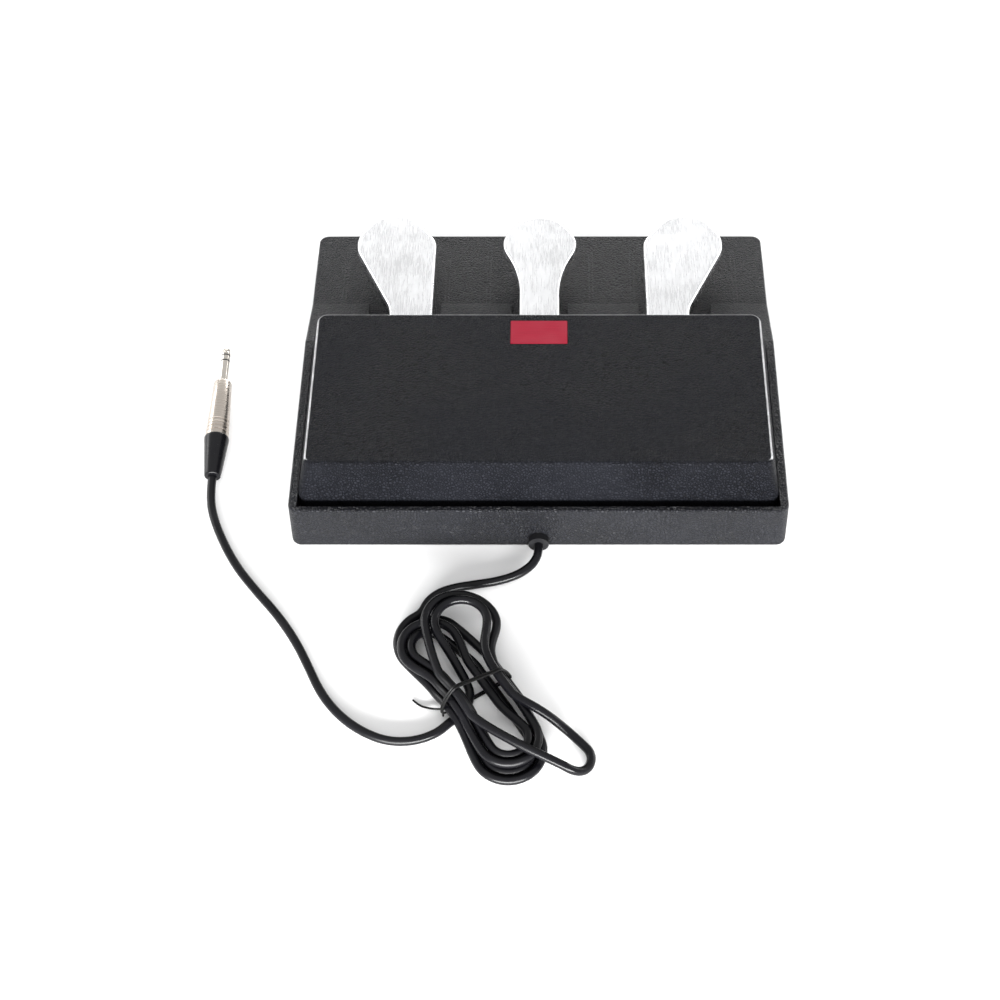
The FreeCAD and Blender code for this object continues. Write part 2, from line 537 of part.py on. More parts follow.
# ---------------------------------------------------------------- hood
def make_hood():
    body = new_body("top_cover")
    rim_half = "(%s - $fit_gap)" % WELL_HALF
    rear = "(%s - $hood_rear_gap)" % WELL_REAR
    front = "(%s + 0.5)" % RAMP_TOP_Y
    slope = "$hood_inset / ($hood_top - $rim_top)"
    skirt = "($ledge_top + $small_gap)"
    grow = "(%s * ($rim_top - %s))" % (slope, skirt)

    def loft(kind, inset, low, high, front_inset):
        """Sloping block between two levels, each side moved in by the inset."""
        levels = []
        for level in (low, high):
            shrink = "(%s * (%s - $rim_top) + %s)" % (slope, level, inset)
            plan = sketch_on(body, "XY_Plane", level)
            lean = "($hood_front_inset * (%s - $rim_top) / ($hood_top - $rim_top))" % level
            rectangle(plan, "-(%s - %s)" % (rim_half, shrink), "%s - %s" % (rim_half, shrink),
                      "%s + %s + %s" % (front, lean, front_inset), "%s - %s" % (rear, shrink))
            levels.append(plan)
        item = body.newObject("PartDesign::" + kind, body.Name + "_loft")
        item.Profile = levels[0]
        item.Sections = [levels[1]]
        item.Ruled = True
        doc.recompute()
        return item

    # Below the rim the skirt drops straight, so that it clears the well.
    plan = sketch_on(body, "XY_Plane", skirt)
    rectangle(plan, "-" + rim_half, rim_half, front, rear)
    pad(body, plan, "$rim_top - " + skirt)
    loft("AdditiveLoft", "0", "$rim_top", "$hood_top", "0")
    round_edges(body, lambda edge: edge.BoundBox.ZLength > 5, "$hood_round")
    top = size("hood_top")
    round_edges(body, lambda edge: edge.BoundBox.ZMin > top - 0.01, "$hood_edge")

    hollow = sketch_on(body, "XY_Plane", skirt)
    inner = "(%s - $shell_wall)" % rim_half
    rectangle(hollow, "-" + inner, inner, front + " + $shell_wall", rear + " - $shell_wall")
    pocket(body, hollow, "$rim_top - " + skirt, backwards=True)
    loft("SubtractiveLoft", "$shell_wall", "$rim_top", "($hood_top - $shell_wall)",
         "$shell_wall")

    # The front wall stops above the level strip and has a mouth for each pedal.
    strip = sketch_on(body, "XZ_Plane", "-(%s + $fit_gap)" % WELL_FRONT)
    rectangle(strip, "-$base_width / 2", "$base_width / 2", "0", "$rim_top + $small_gap")
    pocket(body, strip, "$front_strip + 5", backwards=True)
    mouths = sketch_on(body, "XZ_Plane", "-(%s + $shell_wall + 4)" % front)
    rectangle(mouths, "-$notch_middle", "$notch_middle", "0", "$mouth_top")
    for sign in ("-", ""):
        rectangle(mouths, sign + "$notch_inner", sign + "($notch_outer - $notch_slant)", "0",
                  "$mouth_top")
    pocket(body, mouths, "$shell_wall + 8", backwards=True)

    badge_y = "($base_depth / 2 - $badge_from_rear)"
    seat = sketch_on(body, "XY_Plane", "$hood_top")
    wide = "($badge_width / 2 + $fit_gap)"
    deep = "($badge_depth / 2 + $fit_gap)"
    rectangle(seat, "-" + wide, wide, "%s - %s" % (badge_y, deep), "%s + %s" % (badge_y, deep))
    pocket(body, seat, "$badge_recess")

    bosses = sketch_on(body, "XY_Plane", skirt)
    for x, y in HOOD_HOLES:
        circle(bosses, x, y, "$boss_radius")
    pad(body, bosses, "$rim_top + $hood_boss_rise - " + skirt)
    holes = sketch_on(body, "XY_Plane", skirt)
    for x, y in HOOD_HOLES:
        circle(holes, x, y, "$pilot_radius")
    pocket(body, holes, "$screw_length + 1", backwards=True)
    keep(body, "top_cover")

    badge = new_body("badge")
    plan = sketch_on(badge, "XY_Plane")
    rectangle(plan, "-$badge_width / 2", "$badge_width / 2", "-$badge_depth / 2",
              "$badge_depth / 2")
    pad(badge, plan, "$badge_thick")
    round_edges(badge, upright, "0.8")
    put(badge, "0", badge_y, "$hood_top - $badge_recess")
    keep(badge, "badge")


# ---------------------------------------------------------------- bottom plate, feet, screws
def make_bottom():
    body = new_body("bottom_plate")
    plan = sketch_on(body, "XY_Plane", "$plate_bottom")
    half_x = "($base_width / 2 - $plate_inset)"
    half_y = "($base_depth / 2 - $plate_inset)"
    rectangle(plan, "-" + half_x, half_x, "-" + half_y, half_y)
    pad(body, plan, "$plate_thick")
    round_edges(body, upright, "$corner_round - $shell_wall")
    holes = sketch_on(body, "XY_Plane", PLATE_TOP)
    for x, y in PLATE_HOLES:
        circle(holes, x, y, "$screw_radius + 0.2")
    for x, y in HOOD_HOLES:
        circle(holes, x, y, "$screw_head + 0.8")
    for x, y in CHASSIS_HOLES:
        circle(holes, x, y, "$screw_radius + 0.1")
    for x, y in CLAMP_HOLES:
        circle(holes, x, y, "$screw_radius + 0.1")
    slot = "($gland_nut + 1)"
    rectangle(holes, "-" + slot, slot, half_y + " - $nut_thick - 2", half_y + " + 2")
    pocket(body, holes, "$plate_thick")
    keep(body, "bottom_plate")

    keep(group("feet", [cylinder("foot_%d" % i, "$foot_radius", "$plate_bottom", x, y)
                        for i, (x, y) in enumerate(FEET, 1)]), "feet")
    keep(group("plate_screws", [
        screw("plate_screw_%d" % i, x, y, "$plate_bottom", "$plate_thick + $screw_length")
        for i, (x, y) in enumerate(PLATE_HOLES, 1)]), "plate_screws")
    keep(group("cover_screws", [
        screw("cover_screw_%d" % i, x, y, LEDGE_BOTTOM, "$ledge_thick + $screw_length")
        for i, (x, y) in enumerate(HOOD_HOLES, 1)]), "cover_screws")


# ---------------------------------------------------------------- chassis, axle, stop bridge
EAR_IN = "($hub_half + $bush_flange + $ear_gap)"
CHASSIS_HOLES = [(x, y) for x in ("-$chassis_hole_out", "-$stem_pitch / 2", "$stem_pitch / 2",
                                  "$chassis_hole_out")
                 for y in ("$base_depth / 2 - $chassis_rear - $chassis_hole_rear",
                           "$base_depth / 2 - $chassis_wall + $chassis_hole_front")]
LEGS = ["-$leg_out", "-$stem_pitch / 2", "$stem_pitch / 2", "$leg_out - $bridge_foot"]
BRIDGE_Y = "(%s - $stop_at)" % AXLE_Y
PRESSED = "($pedal_tilt + $travel)"
STOP_TOP = ("($axle_height + ($pedal_top - $pedal_thick) / cos(%s) "
            "- ($stop_at + $stop_radius) * tan(%s) - $stop_gap)" % (PRESSED, PRESSED))
OVER_STOP = "($axle_height + $pedal_top * cos($pedal_tilt) - $stop_at * sin($pedal_tilt))"
BRIDGE_LOW = "(%s + $felt_thick + 0.8)" % OVER_STOP


def make_chassis():
    body = new_body("chassis")
    outline = sketch_on(body, "YZ_Plane", "-$chassis_half")
    rear = "$base_depth / 2 - $chassis_rear"
    wall = "$base_depth / 2 - $chassis_wall"
    front = "$base_depth / 2 - $shelf_front"
    loop(outline, [(rear, PLATE_TOP), (rear, FLOOR_TOP), (wall, FLOOR_TOP),
                   (wall, "$shelf_top"), (front, "$shelf_top"),
                   (front, "$shelf_top - $steel_thick"),
                   (wall + " - $steel_thick", "$shelf_top - $steel_thick"),
                   (wall + " - $steel_thick", PLATE_TOP)])
    pad(body, outline, "2 * $chassis_half")
    for side in STEMS.values():
        for sign in (-1, 1):
            inner = "%d * $stem_pitch + %d * %s" % (side, sign, EAR_IN)
            if sign < 0:
                inner += " - $steel_thick"
            ear = sketch_on(body, "YZ_Plane", inner)
            loop(ear, [(AXLE_Y + " - $ear_half", FLOOR_TOP + " - 0.5"),
                       (AXLE_Y + " + $ear_half", FLOOR_TOP + " - 0.5"),
                       (AXLE_Y + " + $ear_rise", "$axle_height + $ear_rise"),
                       (AXLE_Y + " - $ear_rise", "$axle_height + $ear_rise")])
            pad(body, ear, "$steel_thick")
    bore = sketch_on(body, "YZ_Plane", "-$chassis_half")
    circle(bore, AXLE_Y, "$axle_height", "$axle_radius + $running_gap")
    pocket(body, bore, "2 * $chassis_half", backwards=True)
    holes = sketch_on(body, "XY_Plane", FLOOR_TOP)
    for x, y in CHASSIS_HOLES:
        circle(holes, x, y, "$pilot_radius")
    pocket(body, holes, "$steel_thick")
    feet = sketch_on(body, "XY_Plane", "$shelf_top")
    for x in LEGS:
        circle(feet, x + " + $bridge_foot / 2", BRIDGE_Y, "$pilot_radius")
    pocket(body, feet, "$steel_thick")
    keep(body, "chassis")
    keep(group("chassis_screws", [
        screw("chassis_screw_%d" % i, x, y, "$plate_bottom",
              "$plate_thick + $steel_thick + 1.5")
        for i, (x, y) in enumerate(CHASSIS_HOLES, 1)]), "chassis_screws")

    half = "($stem_pitch + %s + $steel_thick + $axle_overhang)" % EAR_IN
    rod = cylinder("axle_rod", "$axle_radius", "2 * " + half, "-" + half, AXLE_Y, "$axle_height",
                   ALONG_X)
    grooved = rod
    clips = []
    for name, place in (("near", "-(%s - 3.2)" % half), ("far", "%s - 4.2" % half)):
        groove = cut("axle_groove_" + name,
                     cylinder("groove_rim_" + name, "$axle_radius + 1", "1", place, AXLE_Y,
                              "$axle_height", ALONG_X),
                     cylinder("groove_floor_" + name, "$axle_radius - 0.8", "1", place, AXLE_Y,
                              "$axle_height", ALONG_X))
        grooved = cut("axle_cut_" + name, grooved, groove)
        ring = cut("clip_ring_" + name,
                   cylinder("clip_rim_" + name, "$axle_radius + 3", "0.8", place + " + 0.1",
                            AXLE_Y, "$axle_height", ALONG_X),
                   cylinder("clip_bore_" + name, "$axle_radius - 0.75", "0.8",
                            place + " + 0.1", AXLE_Y, "$axle_height", ALONG_X))
        mouth = box("clip_mouth_" + name, place, place + " + 1", AXLE_Y + " - 2.2",
                    AXLE_Y + " + 2.2", "$axle_height", "$axle_height + $axle_radius + 4")
        clips.append(cut("clip_" + name, ring, mouth))
    keep(grooved, "axle")
    keep(group("axle_clips", clips), "axle_clips")

    body = new_body("stop_bridge")
    bar = sketch_on(body, "XY_Plane", BRIDGE_LOW)
    rectangle(bar, "-$bridge_half", "$bridge_half", BRIDGE_Y + " - $bridge_depth / 2",
              BRIDGE_Y + " + $bridge_depth / 2")
    pad(body, bar, "$steel_thick")
    legs = sketch_on(body, "XY_Plane", "$shelf_top")
    feet = sketch_on(body, "XY_Plane", "$shelf_top")
    for x in LEGS:
        rectangle(legs, x + " - $steel_thick", x, BRIDGE_Y + " - $bridge_depth / 2",
                  BRIDGE_Y + " + $bridge_depth / 2")
        rectangle(feet, x + " - $steel_thick", x + " + $bridge_foot",
                  BRIDGE_Y + " - $bridge_depth / 2", BRIDGE_Y + " + $bridge_depth / 2")
    pad(body, legs, BRIDGE_LOW + " - $shelf_top")
    pad(body, feet, "$steel_thick")
    holes = sketch_on(body, "XY_Plane", "$shelf_top + $steel_thick")
    for x in LEGS:
        circle(holes, x + " + $bridge_foot / 2", BRIDGE_Y, "$pilot_radius")
    pocket(body, holes, "$steel_thick")
    keep(body, "stop_bridge")
    keep(group("bridge_screws", [
        screw("bridge_screw_%d" % i, x + " + $bridge_foot / 2", BRIDGE_Y,
              "$shelf_top + $steel_thick", "2 * $steel_thick + 1.5", DOWN)
        for i, x in enumerate(LEGS, 1)]), "bridge_screws")


# ---------------------------------------------------------------- pedals and what moves them
def pedal_outline(side):
    """Corners of the pedal's plan, from the axle (y = 0) to the tip (y < 0)."""
    if side == 0:
        half = [("$middle_stem", "$tail"), ("$middle_stem", "-$middle_neck"),
                ("$middle_head", "-$middle_flare"), ("$middle_head", "-$middle_cheek"),
                ("$middle_nose", "-$middle_reach")]
        return half + [("-" + x, y) for x, y in reversed(half)]
    out, back = ("", "-") if side > 0 else ("-", "")
    return [(back + "$outer_stem", "$tail"), (out + "$outer_stem", "$tail"),
            (out + "$outer_stem", "-$outer_neck"), (out + "$outer_side", "-$outer_flare"),
            (out + "$outer_side", "-$outer_cheek"), (out + "$nose_outer", "-$outer_reach"),
            (out + "$nose_inner", "-$outer_reach"), (back + "$outer_stem", "-$inner_cheek")]


def make_pedal(name, side):
    body = new_body("pedal_" + name)
    plan = sketch_on(body, "XY_Plane", "$pedal_top - $pedal_thick")
    loop(plan, pedal_outline(side))
    pad(body, plan, "$pedal_thick")
    kind = "middle" if side == 0 else "outer"
    rounds = [(size(kind + "_neck"), "$%s_neck_round" % kind),
              (size(kind + "_flare"), "$flare_round")]
    rounds += [(size(alias), "$tip_round") for alias in
               ({kind + "_cheek", kind + "_reach"} | ({"inner_cheek"} if side else set()))]
    for reach, radius in sorted(rounds, key=lambda pair: pair[0]):
        round_edges(body, lambda edge: upright(edge)
                    and abs(edge.BoundBox.Center.y + reach) < 0.5, radius)
    top = size("pedal_top")
    round_edges(body, lambda edge: edge.BoundBox.ZMin > top - 0.01, "$pedal_edge")
    low = top - size("pedal_thick")
    round_edges(body, lambda edge: edge.BoundBox.ZMax < low + 0.01, "$pedal_under_edge")

    hub = sketch_on(body, "YZ_Plane", "-$hub_half")
    circle(hub, "0", "0", "$hub_radius")
    pad(body, hub, "2 * $hub_half")
    bore = sketch_on(body, "YZ_Plane", "-$hub_half")
    circle(bore, "0", "0", "$axle_radius + $running_gap + $bush_wall")
    pocket(body, bore, "2 * $hub_half", backwards=True)
    peg = sketch_on(body, "XY_Plane", "$pedal_top - $pedal_thick - $peg_length")
    circle(peg, "0", "-$spring_at", "$peg_radius")
    pad(body, peg, "$peg_length + 1")
    seat = sketch_on(body, "XY_Plane", "$pedal_top - $pedal_thick")
    circle(seat, "0", "-$magnet_at", "$magnet_radius")
    pocket(body, seat, "3", backwards=True)
    body.Placement = FreeCAD.Placement(
        FreeCAD.Vector(), FreeCAD.Rotation(FreeCAD.Vector(1, 0, 0), 1))
    bind(body, Placement__Rotation__Angle="$pedal_tilt")
    centre = "%d * $stem_pitch" % side
    put(body, centre, AXLE_Y, "$axle_height")
    keep(body, "pedal_" + name)

    sleeves = []
    for sign in (-1, 1):
        start = "$hub_half - $bush_length" if sign > 0 else "-$hub_half"
        flange = "$hub_half" if sign > 0 else "-$hub_half - $bush_flange"
        tag = "%s_%s" % (name, "outer" if sign > 0 else "inner")
        solid = fuse("bush_solid_" + tag, [
            cylinder("bush_sleeve_" + tag, "$axle_radius + $running_gap + $bush_wall",
                     "$bush_length", "%s + %s" % (centre, start), AXLE_Y, "$axle_height",
                     ALONG_X),
            cylinder("bush_flange_" + tag, "$hub_radius - 0.5", "$bush_flange",
                     "%s + %s" % (centre, flange), AXLE_Y, "$axle_height", ALONG_X)])
        bore = cylinder("bush_bore_" + tag, "$axle_radius + $running_gap",
                        "2 * $hub_half + 4", "%s - $hub_half - 2" % centre, AXLE_Y,
                        "$axle_height", ALONG_X)
        sleeves.append(cut("bush_%s" % tag, solid, bore))
    keep(group("bushes_" + name, sleeves), "bushes_" + name)

    magnet = cylinder("magnet_" + name, "$magnet_radius", "$magnet_length + 3")
    magnet.Placement = FreeCAD.Placement(
        FreeCAD.Vector(), FreeCAD.Rotation(FreeCAD.Vector(1, 0, 0), 1))
    bind(magnet, Placement__Rotation__Angle="$pedal_tilt")
    low = "($pedal_top - $pedal_thick - $magnet_length)"
    put(magnet, centre,
        "%s - $magnet_at * cos($pedal_tilt) - %s * sin($pedal_tilt)" % (AXLE_Y, low),
        "$axle_height - $magnet_at * sin($pedal_tilt) + %s * cos($pedal_tilt)" % low)
    keep(magnet, "magnet_" + name)

    # Return spring between its cup on the chassis and the pedal's underside.
    cup = new_body("spring_cup_" + name)
    plan = sketch_on(cup, "XY_Plane")
    circle(plan, "0", "0", "$cup_radius")
    pad(cup, plan, "$cup_height")
    plan = sketch_on(cup, "XY_Plane", "$cup_height")
    circle(plan, "0", "0", "$spring_radius + $spring_wire + $fit_gap")
    pocket(cup, plan, "$cup_height - $cup_floor")
    spring_y = "(%s - $spring_at)" % AXLE_Y
    put(cup, centre, spring_y, FLOOR_TOP)
    keep(cup, "spring_cup_" + name)

    under = ("($axle_height + ($pedal_top - $pedal_thick) * cos($pedal_tilt) - ($spring_at "
             "+ $spring_radius + $spring_wire) * sin($pedal_tilt) - $small_gap)")
    foot = "(%s + $cup_floor)" % FLOOR_TOP
    coil = doc.addObject("Part::Helix", "spring_path_" + name)
    tall = "(%s - %s - 2 * $spring_wire - 2 * $small_gap)" % (under, foot)
    bind(coil, Radius="$spring_radius", Height=tall, Pitch="%s / $spring_turns" % tall)
    section = doc.addObject("Part::Circle", "spring_section_" + name)
    bind(section, Radius="$spring_wire")
    section.Placement = FreeCAD.Placement(
        FreeCAD.Vector(), FreeCAD.Rotation(FreeCAD.Vector(1, 0, 0), 90))
    bind(section, Placement__Base__x="$spring_radius")
    doc.recompute()
    sweep = doc.addObject("Part::Sweep", "spring_" + name)
    sweep.Sections = [section]
    sweep.Spine = (coil, ["Edge%d" % i for i in range(1, len(coil.Shape.Edges) + 1)])
    sweep.Solid = True
    sweep.Frenet = True
    put(sweep, centre, spring_y, "%s + $spring_wire + $small_gap" % foot)
    keep(sweep, "spring_" + name)

    keep(cylinder("down_stop_" + name, "$stop_radius", STOP_TOP + " - $shelf_top", centre,
                  BRIDGE_Y, "$shelf_top"), "down_stop_" + name)
    keep(box("up_stop_" + name, centre + " - $outer_stem + 2", centre + " + $outer_stem - 2",
             BRIDGE_Y + " - $felt_length / 2", BRIDGE_Y + " + $felt_length / 2",
             BRIDGE_LOW + " - $felt_thick", BRIDGE_LOW), "up_stop_" + name)


# ---------------------------------------------------------------- circuit board
MAGNET_Y = "(%s - $magnet_at)" % AXLE_Y
MAGNET_LOW = ("($axle_height + ($pedal_top - $pedal_thick - $magnet_length) * cos($pedal_tilt)"
              " - ($magnet_at + $magnet_radius) * sin($pedal_tilt + $travel))")
SENSOR_TOP = "(%s - $sensor_gap)" % MAGNET_LOW
BOARD_TOP = "(%s - $sensor_thick)" % SENSOR_TOP
SPACERS = ["-$board_width / 2 + 5", "-$stem_pitch / 2", "$stem_pitch / 2",
           "$board_width / 2 - 5"]


def make_board():
    body = new_body("sensor_board")
    plan = sketch_on(body, "XY_Plane", BOARD_TOP + " - $board_thick")
    rectangle(plan, "-$board_width / 2", "$board_width / 2",
              MAGNET_Y + " - $board_depth / 2", MAGNET_Y + " + $board_depth / 2")
    pad(body, plan, "$board_thick")
    holes = sketch_on(body, "XY_Plane", BOARD_TOP)
    for x in SPACERS:
        circle(holes, x, MAGNET_Y, "$screw_radius + 0.1")
    pocket(body, holes, "$board_thick")
    keep(body, "sensor_board")
    spacers = []
    for i, x in enumerate(SPACERS, 1):
        spacers.append(cut("board_spacer_%d" % i, cylinder(
            "spacer_rim_%d" % i, "$spacer_radius",
            "%s - $board_thick - %s" % (BOARD_TOP, FLOOR_TOP), x, MAGNET_Y, FLOOR_TOP),
            cylinder("spacer_bore_%d" % i, "$screw_radius + 0.05", "60", x, MAGNET_Y, "0")))
    keep(group("board_spacers", spacers), "board_spacers")
    keep(group("board_screws", [
        screw("board_screw_%d" % i, x, MAGNET_Y, BOARD_TOP, "$board_thick + 6", DOWN)
        for i, x in enumerate(SPACERS, 1)]), "board_screws")
    for name, side in STEMS.items():
        centre = "%d * $stem_pitch" % side
        keep(box("sensor_" + name, centre + " - $sensor_size / 2",
                 centre + " + $sensor_size / 2", MAGNET_Y + " - $sensor_size / 2",
                 MAGNET_Y + " + $sensor_size / 2", BOARD_TOP, SENSOR_TOP),
             "sensor_" + name)
    keep(box("board_connector", "$stem_pitch / 4", "$stem_pitch / 4 + 10",
             MAGNET_Y + " - 3.5", MAGNET_Y + " + 3.5", BOARD_TOP, BOARD_TOP + " + 6"),
         "board_connector")


# ---------------------------------------------------------------- cords
def rounded_path(points):
    """Straight runs joined by tangent arcs, each as large as its two runs allow."""
    points = [FreeCAD.Vector(point) for point in points]
    edges = []
    radii = []
    start = points[0]
    for before, corner, after in zip(points, points[1:], points[2:]):
        inward = (corner - before).normalize()
        outward = (after - corner).normalize()
        half_turn = inward.getAngle(outward) / 2
        trim = 0.45 * min((corner - before).Length, (after - corner).Length)
        radii.append(trim / math.tan(half_turn))
        enter = corner - inward * trim
        leave = corner + outward * trim
        bisector = (outward - inward).normalize()
        sagitta = radii[-1] * (1 / math.cos(half_turn) - 1)
        edges.append(Part.LineSegment(start, enter).toShape())
        edges.append(Part.Arc(enter, corner + bisector * sagitta, leave).toShape())
        start = leave
    edges.append(Part.LineSegment(start, points[-1]).toShape())
    return Part.Wire(edges), radii


def cord_tube(label, points, radius):
    """Round cord along a route, its volume checked against section times length."""
    wire, radii = rounded_path(points)
    first = FreeCAD.Vector(points[0])
    ahead = FreeCAD.Vector(points[1]) - first
    profile = Part.Wire([Part.Circle(first, ahead, radius).toShape()])
    solid = wire.makePipeShell([profile], True, False)
    ideal = math.pi * radius ** 2 * wire.Length
    print("%s: length %.1f, volume %.4f of ideal, radii %s"
          % (label, wire.Length, solid.Volume / ideal, " ".join("%.0f" % r for r in radii)))
    if abs(solid.Volume / ideal - 1) > 0.01:
        raise ValueError(label + " has the wrong volume")
    item = doc.addObject("Part::Feature", label)
    item.Shape = solid
    keep(item, label)


# Free cord: from the gland to the hank, and from the hank to the plug's boot, on the floor.
FLOOR_LINE = size("cord_radius")
GLAND_FACE = size("base_depth") / 2 + size("gland_flange")
BOOT_SLOPE = math.asin((size("boot_rim") - size("boot_end")) / size("boot_length"))
BOOT_MOUTH = (230.0, 87.0, size("boot_end") * math.cos(BOOT_SLOPE))
LAST_RUN = 16.0
LEAD = [(0, GLAND_FACE, size("gland_height")), (0, 154.2, 7.3), (2.0, 160.1, 6.5),
        (5.8, 165.2, 5.4), (14.5, 171.2, 4.0), (27.8, 175.6, 3.1), (42, 178, FLOOR_LINE),
        (55.5, 180.5, FLOOR_LINE), (66.5, 184.5, FLOOR_LINE)]
TAIL = [(56, 286.5, FLOOR_LINE), (64, 295, FLOOR_LINE), (78, 301, FLOOR_LINE),
        (95, 301.5, FLOOR_LINE), (112, 294.5, FLOOR_LINE), (128, 282, FLOOR_LINE),
        (141, 265, FLOOR_LINE), (150, 245.5, FLOOR_LINE), (160, 225, FLOOR_LINE),
        (174, 203.5, FLOOR_LINE), (191, 183, FLOOR_LINE), (206, 163, FLOOR_LINE),
        (217.5, 141.5, FLOOR_LINE), (226.3, 120.5, 3.3),
        (BOOT_MOUTH[0], BOOT_MOUTH[1] + LAST_RUN * math.cos(BOOT_SLOPE),
         BOOT_MOUTH[2] - LAST_RUN * math.sin(BOOT_SLOPE)), BOOT_MOUTH]
# The tied hank, in its own frame: across the hank, then along it.
HANK_CENTRE = FreeCAD.Vector(45.5, 266.0, 0)
HANK_TURN = FreeCAD.Rotation(FreeCAD.Vector(0, 0, 1), 32.9)
HANK_HEIGHT = 24.0
HANK = [(-27.6, -83.8), (-14, -83), (3, -76), (18, -66), (26.5, -50), (24, -34), (21, -24),
        (21, 4), (20.9, 7.6), (19, 15.4), (20.5, 22), (25, 34), (26, 50), (20.5, 66), (4, 75.5),
        (-8, 75.5), (-16.5, 84), (-25, 92), (-37, 92), (-46.5, 84), (-46, 72), (-41, 56),
        (-33.5, 42), (-30.5, 26), (-30.5, 0), (-32, -14), (-38, -26), (-47, -36), (-50, -48),
        (-43, -62), (-31, -72), (-25.6, -76)]
TIE = [(26.2, 5, 2.0), (26.2, 5.4, 12), (25.5, 5.2, 20.5), (22.2, 5, 26.2), (12, 4.7, 26.3),
       (-1, 4.4, 26.5), (-16, 4.5, 26.4), (-31.7, 5, 26.2), (-35, 5.3, 20.5), (-35.8, 5.2, 12),
       (-35.8, 5, 2.5)]


def make_cords():
    body = new_body("cord_gland")
    shift = "-$base_depth / 2"
    flange = sketch_on(body, "XZ_Plane", shift)
    circle(flange, "0", "$gland_height", "$gland_radius")
    pad(body, flange, "$gland_flange", backwards=True)
    neck = sketch_on(body, "XZ_Plane", shift)
    circle(neck, "0", "$gland_height", "$gland_neck")
    pad(body, neck, "$shell_wall")
    nut = sketch_on(body, "XZ_Plane", shift + " + $shell_wall")
    circle(nut, "0", "$gland_height", "$gland_nut")
    pad(body, nut, "$nut_thick")
    bore = sketch_on(body, "XZ_Plane", shift + " + $shell_wall + $nut_thick")
    circle(bore, "0", "$gland_height", "$cord_radius - 0.4")
    pocket(body, bore, "$shell_wall + $nut_thick + $gland_flange", backwards=False)
    keep(body, "cord_gland")

    inner_radius = size("cord_radius") - 0.5
    nut_face = size("base_depth") / 2 - size("shell_wall") - size("nut_thick")
    cord_tube("inner_lead", [
        (0, nut_face, size("gland_height")), (0, 126, 8.2), (0, 115, size("inner_height")),
        (0, 104, size("inner_height")), (0, 93, 9.4), (4.5, 79, 9.9), (13, 67, 11.0),
        (21.5, 57.5, 14.5), (26.5, 49.5, 19.5), (28.2, 42.5, 25.5), (28.4, 34.5, 30.0),
        (28.4, 24.5, 30.0)],
        inner_radius)

    cord_tube("cord_lead", LEAD, size("cord_radius"))
    cord_tube("cord_tail", TAIL, size("cord_radius"))

    corners = [FreeCAD.Vector(across, along, 0) for across, along in HANK]
    outline = Part.makePolygon(corners + corners[:1])
    item = doc.addObject("Part::Feature", "cord_hank")
    item.Shape = Part.Face(outline).extrude(FreeCAD.Vector(0, 0, HANK_HEIGHT))
    item.Placement = FreeCAD.Placement(HANK_CENTRE, HANK_TURN)
    keep(item, "cord_hank")
    tie = [HANK_CENTRE + HANK_TURN.multVec(FreeCAD.Vector(*point)) for point in TIE]
    cord_tube("hank_tie", tie, size("tie_radius"))


def make_plug():
    """Three-pole plug, resting on its boot's side and pointing forward from the cord's end."""
    slope = "asin(($boot_rim - $boot_end) / $boot_length)"
    reach = {"along": "0"}

    def stage(label, radius, length, taper_to=None):
        """Next round length of the plug towards its tip."""
        if taper_to is None:
            item = doc.addObject("Part::Cylinder", label)
            bind(item, Radius=radius, Height=length)
        else:
            item = doc.addObject("Part::Cone", label)
            bind(item, Radius1=radius, Radius2=taper_to, Height=length)
        item.Placement = FreeCAD.Placement(FreeCAD.Vector(), TO_FRONT)
        bind(item, Placement__Rotation__Angle="90 deg - " + slope)
        put(item, "%g" % BOOT_MOUTH[0],
            "%g - %s * cos(%s)" % (BOOT_MOUTH[1], reach["along"], slope),
            "$boot_end * cos(%s) + %s * sin(%s)" % (slope, reach["along"], slope))
        reach["along"] = "(%s + %s)" % (reach["along"], length)
        return item
    keep(stage("plug_boot", "$boot_end", "$boot_length", "$boot_rim"), "plug_boot")
    keep(stage("plug_barrel", "$barrel_rear", "$barrel_length", "$barrel_front"),
         "plug_barrel")
    keep(stage("plug_sleeve", "$jack_radius", "$sleeve_length"), "plug_sleeve")
    washers = [stage("insulator_rear", "$jack_radius", "$insulator")]
    keep(stage("plug_ring", "$jack_radius", "$ring_length"), "plug_ring")
    washers.append(stage("insulator_front", "$jack_radius", "$insulator"))
    keep(group("plug_insulators", washers), "plug_insulators")
    tip = [stage("tip_base", "$jack_radius", "$tip_length / 3"),
           stage("tip_neck", "$jack_radius", "$tip_length / 6", "$tip_waist"),
           stage("tip_bulb", "$tip_waist", "$tip_length / 6", "$jack_radius - 0.3"),
           stage("tip_nose", "$jack_radius - 0.3", "$tip_length / 3", "0.8")]
    keep(fuse("plug_tip", tip), "plug_tip")


def make_clamp():
    """Saddle over the inner lead, screwed to the bottom plate behind the chassis."""
    body = new_body("cable_clamp")
    top = "($inner_height + $cord_radius + $clamp_cap)"
    front = CLAMP_Y + " - $clamp_depth / 2"
    rear = CLAMP_Y + " + $clamp_depth / 2"
    plan = sketch_on(body, "XY_Plane", PLATE_TOP)
    rectangle(plan, "-$clamp_width / 2", "$clamp_width / 2", front, rear)
    pad(body, plan, "%s - %s" % (top, PLATE_TOP))
    bore = sketch_on(body, "XZ_Plane", "-(%s + 1)" % rear)
    circle(bore, "0", "$inner_height", "$cord_radius - $fit_gap")
    pocket(body, bore, "$clamp_depth + 2", backwards=True)
    holes = sketch_on(body, "XY_Plane", top)
    for x, y in CLAMP_HOLES:
        circle(holes, x, y, "$pilot_radius")
    pocket(body, holes, "%s - %s" % (top, PLATE_TOP))
    keep(body, "cable_clamp")
    keep(group("clamp_screws", [
        screw("clamp_screw_%d" % i, x, y, top, "%s - $plate_bottom" % top, DOWN)
        for i, (x, y) in enumerate(CLAMP_HOLES, 1)]), "clamp_screws")


